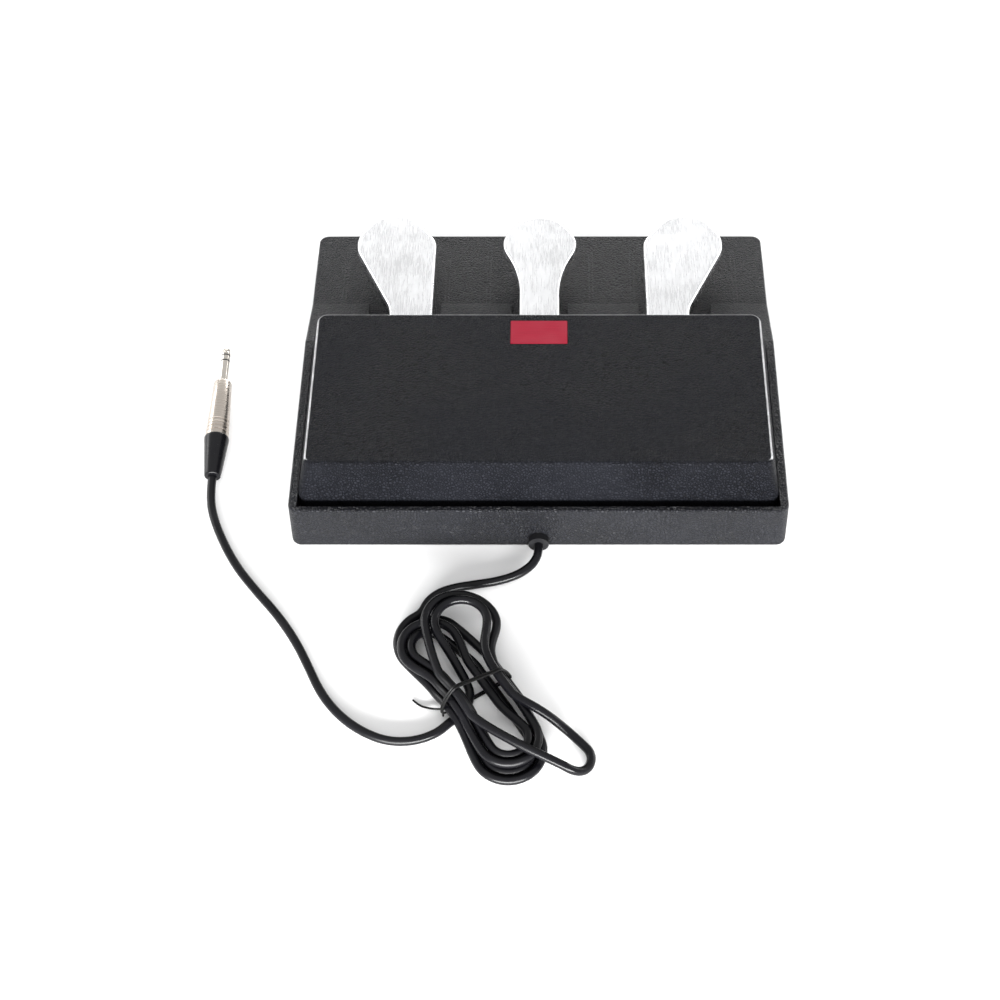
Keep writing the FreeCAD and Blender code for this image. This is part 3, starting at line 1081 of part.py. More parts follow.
make_base()
make_hood()
make_bottom()
make_chassis()
for pedal_name, pedal_side in STEMS.items():
    make_pedal(pedal_name, pedal_side)
make_board()
make_clamp()
make_cords()
make_plug()
doc.recompute()

for item in doc.Objects:
    if "Invalid" in item.State or "Error" in item.State:
        raise ValueError("%s failed: %s" % (item.Name, item.State))
for item in NODES:
    if item.Shape.isNull() or not item.Shape.isValid() or not item.Shape.Solids:
        raise ValueError("bad shape in " + item.Label)
os.makedirs("parts", exist_ok=True)
for item in NODES:
    item.Shape.exportStep(os.path.join("parts", item.Label + ".step"))
print("%d sub-parts" % len(NODES))
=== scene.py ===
import bpy
import json
import math
from collections import namedtuple
from mathutils import Matrix, Vector


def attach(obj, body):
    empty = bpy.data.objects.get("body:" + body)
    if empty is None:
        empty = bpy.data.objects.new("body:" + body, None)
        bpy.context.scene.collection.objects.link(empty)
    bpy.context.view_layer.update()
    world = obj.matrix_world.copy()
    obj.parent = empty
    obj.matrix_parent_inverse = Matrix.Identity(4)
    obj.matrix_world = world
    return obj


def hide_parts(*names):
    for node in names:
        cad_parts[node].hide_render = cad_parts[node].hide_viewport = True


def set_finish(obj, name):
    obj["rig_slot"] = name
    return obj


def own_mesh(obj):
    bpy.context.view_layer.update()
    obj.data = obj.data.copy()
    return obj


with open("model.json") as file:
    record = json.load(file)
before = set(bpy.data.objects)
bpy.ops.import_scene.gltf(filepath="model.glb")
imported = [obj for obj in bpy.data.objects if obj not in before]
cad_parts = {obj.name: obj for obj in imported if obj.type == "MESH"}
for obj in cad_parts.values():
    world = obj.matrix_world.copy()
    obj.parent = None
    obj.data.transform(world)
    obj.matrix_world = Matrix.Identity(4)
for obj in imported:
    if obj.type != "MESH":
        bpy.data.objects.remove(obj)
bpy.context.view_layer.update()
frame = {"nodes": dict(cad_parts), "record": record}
nodes = frame["nodes"]
MM = 0.001


# ---------------------------------------------------------------- camera, floor, light
CAMERA_BACK = 0.94785      # behind the base's centre
CAMERA_SIDE = -0.0094
CAMERA_UP = 1.075
CAMERA_PITCH = math.radians(51.84)
CAMERA_YAW = math.radians(0.30)
CAMERA_ROLL = math.radians(-0.23)
CAMERA_LENS = 70.2
CAMERA_SHIFT = -0.046


def make_camera():
    """Camera behind and above the unit, looking forward and down over the hood."""
    level = Vector((math.sin(CAMERA_YAW), -math.cos(CAMERA_YAW), 0))
    ahead = level * math.cos(CAMERA_PITCH) - Vector((0, 0, math.sin(CAMERA_PITCH)))
    down = -level * math.sin(CAMERA_PITCH) - Vector((0, 0, math.cos(CAMERA_PITCH)))
    right = Vector((-math.cos(CAMERA_YAW), -math.sin(CAMERA_YAW), 0))
    right_rolled = right * math.cos(CAMERA_ROLL) - down * math.sin(CAMERA_ROLL)
    down_rolled = right * math.sin(CAMERA_ROLL) + down * math.cos(CAMERA_ROLL)
    turn = Matrix((right_rolled, -down_rolled, -ahead)).transposed()
    data = bpy.data.cameras.new("camera")
    data.lens = CAMERA_LENS
    data.sensor_width = 36.0
    data.shift_x = CAMERA_SHIFT
    camera = bpy.data.objects.new("camera", data)
    bpy.context.scene.collection.objects.link(camera)
    place = Vector((CAMERA_SIDE, CAMERA_BACK, CAMERA_UP))
    camera.matrix_world = Matrix.Translation(place) @ turn.to_4x4()
    bpy.context.scene.camera = camera


def make_floor():
    """Plain pale floor, far larger than the view."""
    bpy.ops.mesh.primitive_plane_add(size=12.0, location=(0, 0, 0))
    floor = bpy.context.object
    floor.name = "floor"
    material = bpy.data.materials.new("pale_floor")
    material.use_nodes = True
    shader = material.node_tree.nodes["Principled BSDF"]
    shader.inputs["Base Color"].default_value = (0.90, 0.90, 0.90, 1)
    shader.inputs["Roughness"].default_value = 0.9
    shader.inputs["Specular IOR Level"].default_value = 0.1
    floor.data.materials.append(material)


def area_light(name, place, aim, width, depth, power):
    """Soft rectangular studio light, turned to its aim."""
    data = bpy.data.lights.new(name, "AREA")
    data.shape = "RECTANGLE"
    data.size = width
    data.size_y = depth
    data.energy = power
    light = bpy.data.objects.new(name, data)
    light.location = place
    light.rotation_mode = "QUATERNION"
    light.rotation_quaternion = (Vector(aim) - Vector(place)).to_track_quat("-Z", "Y")
    bpy.context.scene.collection.objects.link(light)


def make_light():
    """Even pale surround, a large box behind the unit and weaker ones round it."""
    world = bpy.data.worlds.new("studio")
    world.use_nodes = True
    shade = world.node_tree.nodes["Background"]
    shade.inputs["Color"].default_value = (1, 1, 1, 1)
    shade.inputs["Strength"].default_value = 0.85
    bpy.context.scene.world = world
    area_light("overhead", (0.0, 0.5, 2.0), (0, 0.1, 0), 2.0, 1.2, 1.5)
    area_light("rear_box", (0.0, 2.1, 0.40), (0, 0.2, 0.03), 2.6, 0.6, 270)
    area_light("front_strip", (0.0, -1.8, 0.42), (0, 0, 0.05), 2.4, 0.22, 30)
    area_light("left_box", (1.5, -0.7, 0.40), (0, 0, 0.05), 1.0, 0.5, 8)
    area_light("right_box", (-1.5, -0.7, 0.40), (0, 0, 0.05), 1.0, 0.5, 8)
    bpy.context.scene.view_settings.view_transform = "Standard"


# ---------------------------------------------------------------- cord
CORD_RADIUS = 3.0 * MM
FLOOR_LINE = 3.0           # cord centre when it lies on the floor, mm
LAYER = 6.4                # rise from one layer of the hank to the next, mm
HANK_MIDDLE = (45.5, 266.0)
HANK_ALONG = (-0.543, 0.840)
HANK_ACROSS = (0.840, 0.543)
PLUG_SLOPE = math.asin(3.0 / 33.0)
BOOT_MOUTH = (230.0, 87.0, 5.9 * math.cos(PLUG_SLOPE))
LAST_RUN = 16.0

LEAD = [(0, 148, 7.5), (0, 154.2, 7.3), (2.0, 160.1, 6.5), (5.8, 165.2, 5.4), (14.5, 171.2, 4.0),
        (27.8, 175.6, 3.1), (42, 178, 3), (55.5, 180.5, 3), (66.5, 184.5, 3), (74.5, 192, 3),
        (78, 202, 3)]
TAIL = [(56, 286.5, 3), (64, 295, 3), (78, 301, 3), (95, 301.5, 3), (112, 294.5, 3),
        (128, 282, 3), (141, 265, 3), (150, 245.5, 3), (160, 225, 3), (174, 203.5, 3),
        (191, 183, 3), (206, 163, 3), (217.5, 141.5, 3), (226.3, 120.5, 3.3),
        (BOOT_MOUTH[0], BOOT_MOUTH[1] + LAST_RUN * math.cos(PLUG_SLOPE),
         BOOT_MOUTH[2] - LAST_RUN * math.sin(PLUG_SLOPE)), BOOT_MOUTH]
# Each turn round an end of the hank: which end, its centre along and across, its radius, the
# layers it starts and stops on, and where the run before it crosses the waist.
Turn = namedtuple("Turn", "end along across radius start stop waist")
TURNS = [Turn(1, 50, 0, 22.4, 0, 0, 17.4), Turn(-1, -47, -3, 18.5, 0, 0, -27.0),
         Turn(1, 50, 0, 16.0, 0, 0, 11.0), Turn(-1, -42, 3, 12.8, 0, 1, -16.5),
         Turn(1, 45, -3, 13.2, 1, 1, 8.0), Turn(-1, -42, 3, 19.6, 1, 1, -11.5),
         Turn(1, 45, -3, 19.6, 1, 1, 14.4), Turn(-1, -44, -22, 24.4, 1, 2, -23.6),
         Turn(1, 77, -31, 12.0, 1.7, 0, 11.0), Turn(-1, -44, -22, 18.0, 2, 2, -20.6)]
FIRST_TURN = (-47, -3, 25)         # centre along, centre across, radius
FIRST_TURN_DEGREES = (12, 36, 60, 84, 106)
FLARES = {7: 10, 9: 7}             # extra spread of the two large turns, mm
STRAY = 8                          # the turn that hangs out at the far end
STRAY_ENTRY = (56, -3, 2.2)        # along, across, layer
STRAY_EXIT = [(58, -38.5, 0.4), (43, -30, 1.9)]
STRAY_EXIT_LAYER = 2
LAST_WAIST = -4
WAIST_END = 26.0                   # where the straight runs stop, each side of the tie
WAIST_RUN = (-20, -9, 3, 15, 24)
WAIST_RISE = (0, 0.25, 1.06, 1.06, 0.2)
END_STEPS = 7
CLIMB_DEGREES = 120.0              # share of a turn in which it changes layer
DIVE = [(-38, -4, 14.5), (-27, -4.5, 10.5), (-17, -4.5, 6.0), (-8, -4.2, 3.3), (0.5, -2, 3),
        (7, 4, 3), (11, 12, 3)]


def ease(share):
    """Smooth change from 0 to 1, held at either end."""
    share = min(max(share, 0), 1)
    return share * share * (3 - 2 * share)


def on_hank(along, across, up):
    """Point of the hank, from its own directions to the unit's."""
    return (HANK_MIDDLE[0] + HANK_ALONG[0] * along + HANK_ACROSS[0] * across,
            HANK_MIDDLE[1] + HANK_ALONG[1] * along + HANK_ACROSS[1] * across, up)


def first_turn():
    """Entry to the hank, round its near end."""
    along, across, radius = FIRST_TURN
    points = []
    for degrees in FIRST_TURN_DEGREES:
        angle = math.radians(degrees)
        points.append((along - radius * math.cos(angle), across + radius * math.sin(angle),
                       FLOOR_LINE))
    return points


def waist_run(index, side, level):
    """Straight run across the waist. One side's runs rise over the other's."""
    turn = TURNS[index]
    points = []
    stations = list(zip(WAIST_RUN, WAIST_RISE))
    if turn.end < 0:
        stations.reverse()
    for along, rise in stations:
        spread = turn.waist
        if along * turn.end > 0:
            spread += side * FLARES.get(index, 0) * (along / WAIST_END) ** 2
        lift = rise if side > 0 else 0
        points.append((along, spread, FLOOR_LINE + LAYER * (level + lift)))
    return points


def end_turn(index, side):
    """Half turn round one end, which meets the waist runs on both sides of it."""
    turn = TURNS[index]
    after = TURNS[index + 1].waist if index + 1 < len(TURNS) else LAST_WAIST
    gap = abs(turn.along) - WAIST_END
    before_offset = side * (turn.across - turn.waist) + turn.radius
    after_offset = side * (after - turn.across) + turn.radius
    enter = max(-30, min(25, -math.degrees(math.atan(before_offset / gap))))
    leave = min(200, max(155, 180 + math.degrees(math.atan(after_offset / gap))))
    points = []
    for step in range(END_STEPS + 1):
        degrees = enter + (leave - enter) * step / END_STEPS
        angle = math.radians(degrees)
        level = turn.start + (turn.stop - turn.start) * ease(degrees / CLIMB_DEGREES)
        points.append((turn.along + turn.end * turn.radius * math.sin(angle),
                       turn.across + side * turn.radius * math.cos(angle),
                       FLOOR_LINE + LAYER * level))
    return points


def stray_point(along, across, layer):
    return (along, across, FLOOR_LINE + LAYER * layer)


def hank_route():
    """The tied turns, from the end nearest the unit to the dive under the tie."""
    points = first_turn()
    level = 0
    for index, turn in enumerate(TURNS):
        points += waist_run(index, turn.end, level)
        level = turn.stop
        if index == STRAY:
            points.append(stray_point(*STRAY_ENTRY))
        points += end_turn(index, turn.end)
        if index == STRAY:
            points += [stray_point(*place) for place in STRAY_EXIT]
            level = STRAY_EXIT_LAYER
    return points + DIVE


def spline_piece(name, points, radius, rings):
    """Round cord or wire along one smooth open spline, its points in millimetres."""
    data = bpy.data.curves.new(name, "CURVE")
    data.dimensions = "3D"
    data.bevel_depth = 1.0
    data.bevel_resolution = rings
    data.resolution_u = 6
    data.use_fill_caps = True
    spline = data.splines.new("NURBS")
    spline.points.add(len(points) - 1)
    for control, place in zip(spline.points, points):
        control.co = (place[0] * MM, place[1] * MM, place[2] * MM, 1)
        control.radius = radius
    spline.order_u = 3
    spline.use_endpoint_u = True
    piece = bpy.data.objects.new(name, data)
    bpy.context.scene.collection.objects.link(piece)
    return piece


def make_cord():
    """The whole cord, from the gland through the hank to the plug."""
    route = LEAD + [on_hank(*place) for place in hank_route()] + TAIL
    cord = spline_piece("cord", route, CORD_RADIUS, 5)
    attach(cord, "housing")
    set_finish(cord, "cord_sheath")
    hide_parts("cord_lead", "cord_hank", "cord_tail")
    return cord


# ---------------------------------------------------------------- tie
TIE_RADIUS = 0.7 * MM
TIE_AT = 5.0
TIE_PITCH = 1.6            # how far apart its turns lie, mm
TIE_WANDER = 0.2
# Across and up: round the runs at the waist, from the right side over the top and under.
TIE_ROUND = [(21.4, 2.6), (22.0, 9.6), (19.6, 15.6), (16.6, 20.6), (12.6, 26.2), (8.6, 25.9),
             (-4, 22.6), (-18.6, 19.9), (-22.6, 19.2), (-26.4, 13.6), (-30.2, 6.2), (-31.0, 2.6),
             (-27.4, 0.75), (-8, 0.72), (14, 0.74)]
TIE_END = [(-2, 23.2, 2.6), (-7, 27.0, 1.2), (-11, 30.0, 0.9), (-17, 31.4, 0.8)]


def make_tie():
    """Two turns of thin sleeved wire round the waist, with one end left loose."""
    points = []
    for turn in (0, 1):
        for step, (across, up) in enumerate(TIE_ROUND):
            wander = TIE_WANDER * math.sin(2.0 * step)
            along = TIE_AT - TIE_PITCH * (turn + step / len(TIE_ROUND)) + wander
            points.append(on_hank(along, across, up))
    points += [on_hank(along, across, up) for along, across, up in TIE_END]
    tie = spline_piece("wire_tie", points, TIE_RADIUS, 2)
    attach(tie, "housing")
    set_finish(tie, "tie_wire")
    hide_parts("hank_tie")
    return tie


# ---------------------------------------------------------------- plug
BOOT_LENGTH = 33.0
BARREL_LENGTH = 48.5
BARREL_BACK_RADIUS = 8.36
BARREL_FRONT_RADIUS = 6.5
GROOVES = (3.6, 6.8, 10.0, 13.0)   # from the barrel's back
GROOVE_DEEP = 0.5
SLEEVE_LENGTH = 19.0
RING_LENGTH = 3.6
INSULATOR_LENGTH = 1.2
# Distance from the tip's back, and radius.
TIP_PROFILE = [(0, 3.1), (0.2, 3.17), (1.9, 3.17), (2.2, 3.0), (2.9, 2.35), (3.3, 2.2),
               (3.7, 2.3), (4.1, 2.75), (4.4, 2.87), (4.9, 2.7), (5.5, 2.1), (6.0, 1.3),
               (6.25, 0.5)]


def select_only(piece):
    bpy.ops.object.select_all(action="DESELECT")
    piece.select_set(True)
    bpy.context.view_layer.objects.active = piece


def turned_piece(name, stations, sides=64):
    """Round piece on the plug's axis. Stations are (distance from the boot's mouth, radius)."""
    bpy.ops.object.select_all(action="DESELECT")
    start, radius = stations[0]
    bpy.ops.mesh.primitive_circle_add(vertices=sides, radius=radius * MM, fill_type="NGON",
                                      location=(0, 0, start * MM))
    piece = bpy.context.object
    piece.name = name
    bpy.ops.object.transform_apply(location=True, rotation=False, scale=False)
    bpy.ops.object.mode_set(mode="EDIT")
    bpy.ops.mesh.select_all(action="SELECT")
    place, size = start, radius
    for along, wide in stations[1:]:
        bpy.ops.mesh.extrude_region_move(
            TRANSFORM_OT_translate={"value": (0, 0, (along - place) * MM)})
        bpy.ops.transform.resize(value=(wide / size, wide / size, 1),
                                 center_override=(0, 0, along * MM))
        place, size = along, wide
    bpy.ops.mesh.select_all(action="SELECT")
    bpy.ops.mesh.normals_make_consistent(inside=False)
    bpy.ops.object.mode_set(mode="OBJECT")
    piece.rotation_euler = (math.pi / 2 - PLUG_SLOPE, 0, 0)
    piece.location = [number * MM for number in BOOT_MOUTH]
    select_only(piece)
    bpy.ops.object.transform_apply(location=True, rotation=True, scale=True)
    bpy.ops.object.shade_smooth_by_angle(angle=math.radians(32))
    return piece


def rounded(start, stop, steps, from_size, to_size):
    """Stations on a quarter round between two radii, steep at its start."""
    found = []
    for step in range(steps + 1):
        turn = math.pi / 2 * step / steps
        found.append((start + (stop - start) * (1 - math.cos(turn)),
                      from_size + (to_size - from_size) * math.sin(turn)))
    return found


def shell_radius(along):
    """Radius of the barrel's plain taper, at a distance from its back."""
    slope = (BARREL_FRONT_RADIUS - BARREL_BACK_RADIUS) / BARREL_LENGTH
    return BARREL_BACK_RADIUS + slope * along


def groove_stations(middle):
    """One square groove round the barrel, with slightly sloped walls."""
    floor = shell_radius(middle) - GROOVE_DEEP
    return [(middle - 0.5, shell_radius(middle - 0.5)), (middle - 0.3, floor),
            (middle + 0.3, floor), (middle + 0.5, shell_radius(middle + 0.5))]


def plug_piece(name, slot, node, stations, sides=64):
    piece = turned_piece(name, stations, sides)
    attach(piece, "housing")
    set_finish(piece, slot)
    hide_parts(node)
    return piece


def make_plug():
    """Boot, grooved barrel and waisted tip of the three-pole plug."""
    boot = [(0.0, 3.4), (0.0, 5.0)] + rounded(0.0, 1.2, 4, 5.0, 5.85)[1:]
    boot += [(6, 6.4), (14, 7.15), (22, 7.9), (28, 8.5), (30.8, 8.82), (32.2, 8.86)]
    boot += [(32.9, 8.6), (BOOT_LENGTH, 7.6)]

    barrel = [(0, 7.4), (0, 8.1), (0.3, 8.33)]
    for middle in GROOVES:
        barrel += groove_stations(middle)
    barrel += [(30, shell_radius(30)), (47.3, shell_radius(47.3)), (48.1, shell_radius(48) - 0.3),
               (BARREL_LENGTH, shell_radius(48) - 0.9), (BARREL_LENGTH, 3.3)]
    barrel = [(BOOT_LENGTH + along, radius) for along, radius in barrel]

    tip_at = BOOT_LENGTH + BARREL_LENGTH + SLEEVE_LENGTH + RING_LENGTH + 2 * INSULATOR_LENGTH
    tip = [(tip_at + along, radius) for along, radius in TIP_PROFILE]
    return [plug_piece("boot_moulding", "boot_rubber", "plug_boot", boot),
            plug_piece("barrel_shell", "barrel_nickel", "plug_barrel", barrel),
            plug_piece("contact_tip", "contact_nickel", "plug_tip", tip, 48)]


def make_springs():
    """Copies of the CAD coils, merged, smoothed and fixed to the housing; like the CAD coils,
    they don't shorten as a pedal goes down.
    """
    made = []
    for side in ("left", "middle", "right"):
        node = nodes["spring_" + side]
        coil = bpy.data.objects.new("coil_" + side, node.data.copy())
        bpy.context.scene.collection.objects.link(coil)
        select_only(coil)
        bpy.ops.object.mode_set(mode="EDIT")
        bpy.ops.mesh.select_all(action="SELECT")
        bpy.ops.mesh.remove_doubles(threshold=0.000001)
        bpy.ops.mesh.normals_make_consistent(inside=False)
        bpy.ops.object.mode_set(mode="OBJECT")
        bpy.ops.object.shade_smooth_by_angle(angle=math.radians(40))
        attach(coil, "housing")
        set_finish(coil, "spring_steel")
        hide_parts("spring_" + side)
        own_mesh(coil)
        made.append(coil)
    return made


# ---------------------------------------------------------------- shared surface effects
def add(tree, kind, **settings):
    made = tree.nodes.new(kind)
    for name, value in settings.items():
        setattr(made, name, value)
    return made


def feed(tree, made, **sources):
    """Connect or set a node's inputs by name; an underscore stands for a space."""
    for name, source in sources.items():
        socket = made.inputs[name.replace("_", " ")]
        if isinstance(source, bpy.types.NodeSocket):
            tree.links.new(source, socket)
        else:
            socket.default_value = source
    return made


def maths(tree, operation, first, second):
    made = add(tree, "ShaderNodeMath", operation=operation)
    for socket, source in zip(made.inputs, (first, second)):
        if isinstance(source, bpy.types.NodeSocket):
            tree.links.new(source, socket)
        else:
            socket.default_value = source
    return made.outputs[0]


def remap(tree, value, low, high, to_low=0.0, to_high=1.0):
    made = add(tree, "ShaderNodeMapRange", interpolation_type="SMOOTHSTEP")
    feed(tree, made, Value=value, From_Min=low, From_Max=high, To_Min=to_low, To_Max=to_high)
    return made.outputs["Result"]


def new_group(name, inputs, outputs):
    group = bpy.data.node_groups.new(name, "ShaderNodeTree")
    for label, kind, value in inputs:
        socket = group.interface.new_socket(label, in_out="INPUT", socket_type=kind)
        if value is not None:
            socket.default_value = value
    for label in outputs:
        group.interface.new_socket(label, in_out="OUTPUT", socket_type="NodeSocketFloat")
    return group, add(group, "NodeGroupInput"), add(group, "NodeGroupOutput")


def make_grain_group():
    """Moulded leather grain: rounded cells with creases between them."""
    group, given, result = new_group("leather_grain", [
        ("Point", "NodeSocketVector", None), ("Cells", "NodeSocketFloat", 800.0)],
        ["Height", "Crease"])
    warp = add(group, "ShaderNodeTexNoise")
    feed(group, warp, Vector=given.outputs["Point"], Scale=260.0, Detail=2.0)
    shift = add(group, "ShaderNodeVectorMath", operation="SCALE")
    feed(group, shift, Vector=warp.outputs["Color"], Scale=0.0022)
    moved = add(group, "ShaderNodeVectorMath", operation="ADD")
    group.links.new(given.outputs["Point"], moved.inputs[0])
    group.links.new(shift.outputs[0], moved.inputs[1])
    cells = add(group, "ShaderNodeTexVoronoi", feature="DISTANCE_TO_EDGE")
    feed(group, cells, Vector=moved.outputs[0], Scale=given.outputs["Cells"])
    crease = remap(group, cells.outputs["Distance"], 0.0, 0.22, 1.0, 0.0)
    fine = add(group, "ShaderNodeTexNoise")
    feed(group, fine, Vector=given.outputs["Point"], Scale=2600.0, Detail=3.0)
    height = maths(group, "SUBTRACT", maths(group, "MULTIPLY", fine.outputs["Fac"], 0.3), crease)
    group.links.new(height, result.inputs["Height"])
    group.links.new(crease, result.inputs["Crease"])
    return group


def make_edge_group():
    """Mask of the corners that rub bright, broken up along their length."""
    group, given, result = new_group("rubbed_edge", [
        ("Point", "NodeSocketVector", None), ("Reach", "NodeSocketFloat", 0.001)], ["Mask"])
    soft = add(group, "ShaderNodeBevel", samples=4)
    feed(group, soft, Radius=given.outputs["Reach"])
    facing = add(group, "ShaderNodeNewGeometry")
    turned = add(group, "ShaderNodeVectorMath", operation="DOT_PRODUCT")
    group.links.new(soft.outputs["Normal"], turned.inputs[0])
    group.links.new(facing.outputs["Normal"], turned.inputs[1])
    corner = remap(group, turned.outputs["Value"], 0.995, 0.86, 0.0, 1.0)
    patch = add(group, "ShaderNodeTexNoise")
    feed(group, patch, Vector=given.outputs["Point"], Scale=120.0, Detail=4.0)
    broken = remap(group, patch.outputs["Fac"], 0.32, 0.62, 0.35, 1.0)
    group.links.new(maths(group, "MULTIPLY", corner, broken), result.inputs["Mask"])
    return group


def make_highlight_band_group():
    """Mask of the rounded shoulders at the front and sides, where a pale painted highlight goes,
    broken up by noise.
    """
    group, given, result = new_group("painted_highlight_band", [
        ("Point", "NodeSocketVector", None)], ["Mask"])
    facing = add(group, "ShaderNodeNewGeometry")
    parts = add(group, "ShaderNodeSeparateXYZ")
    group.links.new(facing.outputs["Normal"], parts.inputs[0])
    upper = remap(group, parts.outputs["Z"], 0.95, 0.87, 0.0, 1.0)
    lower = remap(group, parts.outputs["Z"], 0.26, 0.36, 0.0, 1.0)
    patch = add(group, "ShaderNodeTexNoise")
    feed(group, patch, Vector=given.outputs["Point"], Scale=90.0, Detail=3.0)
    uneven = remap(group, patch.outputs["Fac"], 0.3, 0.65, 0.6, 1.0)
    ahead = remap(group, parts.outputs["Y"], 0.35, 0.15, 0.0, 1.0)
    band = maths(group, "MULTIPLY", maths(group, "MULTIPLY", upper, lower), ahead)
    mask = maths(group, "MULTIPLY", band, uneven)
    group.links.new(mask, result.inputs["Mask"])
    return group


def make_dust_group():
    """Slow patches of handling and fine specks of dust."""
    group, given, result = new_group("handling", [
        ("Point", "NodeSocketVector", None), ("Size", "NodeSocketFloat", 18.0)],
        ["Patch", "Speck"])
    slow = add(group, "ShaderNodeTexNoise")
    feed(group, slow, Vector=given.outputs["Point"], Scale=given.outputs["Size"], Detail=5.0)
    patch = remap(group, slow.outputs["Fac"], 0.3, 0.7)
    dots = add(group, "ShaderNodeTexVoronoi", feature="F1")
    feed(group, dots, Vector=given.outputs["Point"], Scale=330.0, Randomness=1.0)
    speck = remap(group, dots.outputs["Distance"], 0.10, 0.04, 0.0, 1.0)
    group.links.new(patch, result.inputs["Patch"])
    group.links.new(maths(group, "MULTIPLY", speck, patch), result.inputs["Speck"])
    return group


def make_brush_group():
    """Fine lines of a brushed or drawn metal, along the piece's own length."""
    group, given, result = new_group("brushing", [
        ("Point", "NodeSocketVector", None), ("Stretch", "NodeSocketVector", (1.0, 1.0, 1.0))],
        ["Line"])
    long = add(group, "ShaderNodeVectorMath", operation="MULTIPLY")
    group.links.new(given.outputs["Point"], long.inputs[0])
    group.links.new(given.outputs["Stretch"], long.inputs[1])
    lines = add(group, "ShaderNodeTexNoise")
    feed(group, lines, Vector=long.outputs[0], Scale=1.0, Detail=3.0)
    group.links.new(remap(group, lines.outputs["Fac"], 0.3, 0.7), result.inputs["Line"])
    return group


EFFECTS = {"grain": make_grain_group(), "edge": make_edge_group(), "dust": make_dust_group(),
           "brush": make_brush_group(), "shoulder_highlight": make_highlight_band_group()}


# ---------------------------------------------------------------- finishes
def place_effect(tree, name, **values):
    made = add(tree, "ShaderNodeGroup", node_tree=EFFECTS[name])
    return feed(tree, made, **values)


def tint(tree, mask, first, second):
    """Mix of two colours by a mask; either may be the result of another mix."""
    made = add(tree, "ShaderNodeMix", data_type="RGBA")
    tree.links.new(mask, made.inputs["Factor"])
    for socket, colour in ((made.inputs[6], first), (made.inputs[7], second)):
        if isinstance(colour, bpy.types.NodeSocket):
            tree.links.new(colour, socket)
        else:
            socket.default_value = (*colour, 1)
    return made.outputs[2]


def start_finish(name, **uniform):
    """New material: its tree, its shader with uniform values set, and the piece's own point."""
    material = bpy.data.materials.new(name)
    material.use_nodes = True
    tree = material.node_tree
    shader = tree.nodes["Principled BSDF"]
    feed(tree, shader, **uniform)
    point = add(tree, "ShaderNodeTexCoord").outputs["Object"]
    return material, tree, shader, point


def bump(tree, shader, height, deep, strength=1.0):
    raised = add(tree, "ShaderNodeBump")
    feed(tree, raised, Height=height, Distance=deep, Strength=strength)
    tree.links.new(raised.outputs["Normal"], shader.inputs["Normal"])


def grained_plastic(name, body, crease, worn, highlight_colour, cells=560.0, deep=0.0004, rough=0.5,
                    gloss=0.09):
    """Moulded plastic with a leather grain, rubbed corners and a painted highlight on its rounded
    shoulders.
    """
    material, tree, shader, point = start_finish(name, Specular_IOR_Level=gloss)
    grain = place_effect(tree, "grain", Point=point, Cells=cells)
    edge = place_effect(tree, "edge", Point=point, Reach=0.0009)
    dust = place_effect(tree, "dust", Point=point, Size=14.0)
    colour = tint(tree, grain.outputs["Crease"], body, crease)
    lighter = tuple(min(1, channel * 1.35) for channel in body)
    patch = maths(tree, "MULTIPLY", dust.outputs["Patch"], 0.5)
    colour = tint(tree, patch, colour, lighter)
    colour = tint(tree, maths(tree, "MULTIPLY", dust.outputs["Speck"], 0.3), colour,
                  (0.05, 0.05, 0.05))
    colour = tint(tree, edge.outputs["Mask"], colour, worn)
    # Painted highlight: the rounded shoulders at the front and sides are tinted towards a pale
    # colour and made a little smoother.
    shoulder_highlight = place_effect(tree, "shoulder_highlight", Point=point)
    colour = tint(tree, shoulder_highlight.outputs["Mask"], colour, highlight_colour)
    roughness = remap(tree, dust.outputs["Patch"], 0, 1, rough - 0.05, rough + 0.07)
    roughness = maths(tree, "SUBTRACT", roughness,
                      maths(tree, "MULTIPLY", shoulder_highlight.outputs["Mask"], 0.2))
    feed(tree, shader, Base_Color=colour, Roughness=roughness)
    bump(tree, shader, grain.outputs["Height"], deep)
    return material


def plain_plastic(name, body, worn, rough=0.45, gloss=0.5, pits=900.0, deep=0.00003):
    """Moulded plastic with a fine spark-eroded surface."""
    material, tree, shader, point = start_finish(name, Specular_IOR_Level=gloss)
    edge = place_effect(tree, "edge", Point=point, Reach=0.0004)
    dust = place_effect(tree, "dust", Point=point, Size=40.0)
    fine = add(tree, "ShaderNodeTexNoise")
    feed(tree, fine, Vector=point, Scale=pits, Detail=4.0)
    darker = tuple(channel * 0.7 for channel in body)
    colour = tint(tree, fine.outputs["Fac"], darker, body)
    colour = tint(tree, edge.outputs["Mask"], colour, worn)
    roughness = remap(tree, dust.outputs["Patch"], 0, 1, rough - 0.06, rough + 0.08)
    feed(tree, shader, Base_Color=colour, Roughness=roughness)
    bump(tree, shader, fine.outputs["Fac"], deep)
    return material


def drawn_metal(name, body, dark, rough=0.3, stretch=(900.0, 30.0, 900.0), lines=0.00001,
                worn=(0.8, 0.8, 0.8), spots=0.25):
    """Plated or brushed metal: fine lines, slow tarnish and brighter corners."""
    material, tree, shader, point = start_finish(name, Metallic=1.0)
    brush = place_effect(tree, "brush", Point=point, Stretch=stretch)
    edge = place_effect(tree, "edge", Point=point, Reach=0.0005)
    dust = place_effect(tree, "dust", Point=point, Size=30.0)
    tarnish = maths(tree, "MULTIPLY", dust.outputs["Patch"], spots)
    colour = tint(tree, tarnish, body, dark)
    colour = tint(tree, maths(tree, "MULTIPLY", brush.outputs["Line"], 0.25), colour, dark)
    colour = tint(tree, edge.outputs["Mask"], colour, worn)
    shine = maths(tree, "ADD", maths(tree, "MULTIPLY", brush.outputs["Line"], 0.12),
                  maths(tree, "MULTIPLY", dust.outputs["Patch"], 0.08))
    feed(tree, shader, Base_Color=colour, Roughness=maths(tree, "ADD", shine, rough - 0.08))
    bump(tree, shader, brush.outputs["Line"], lines)
    return material


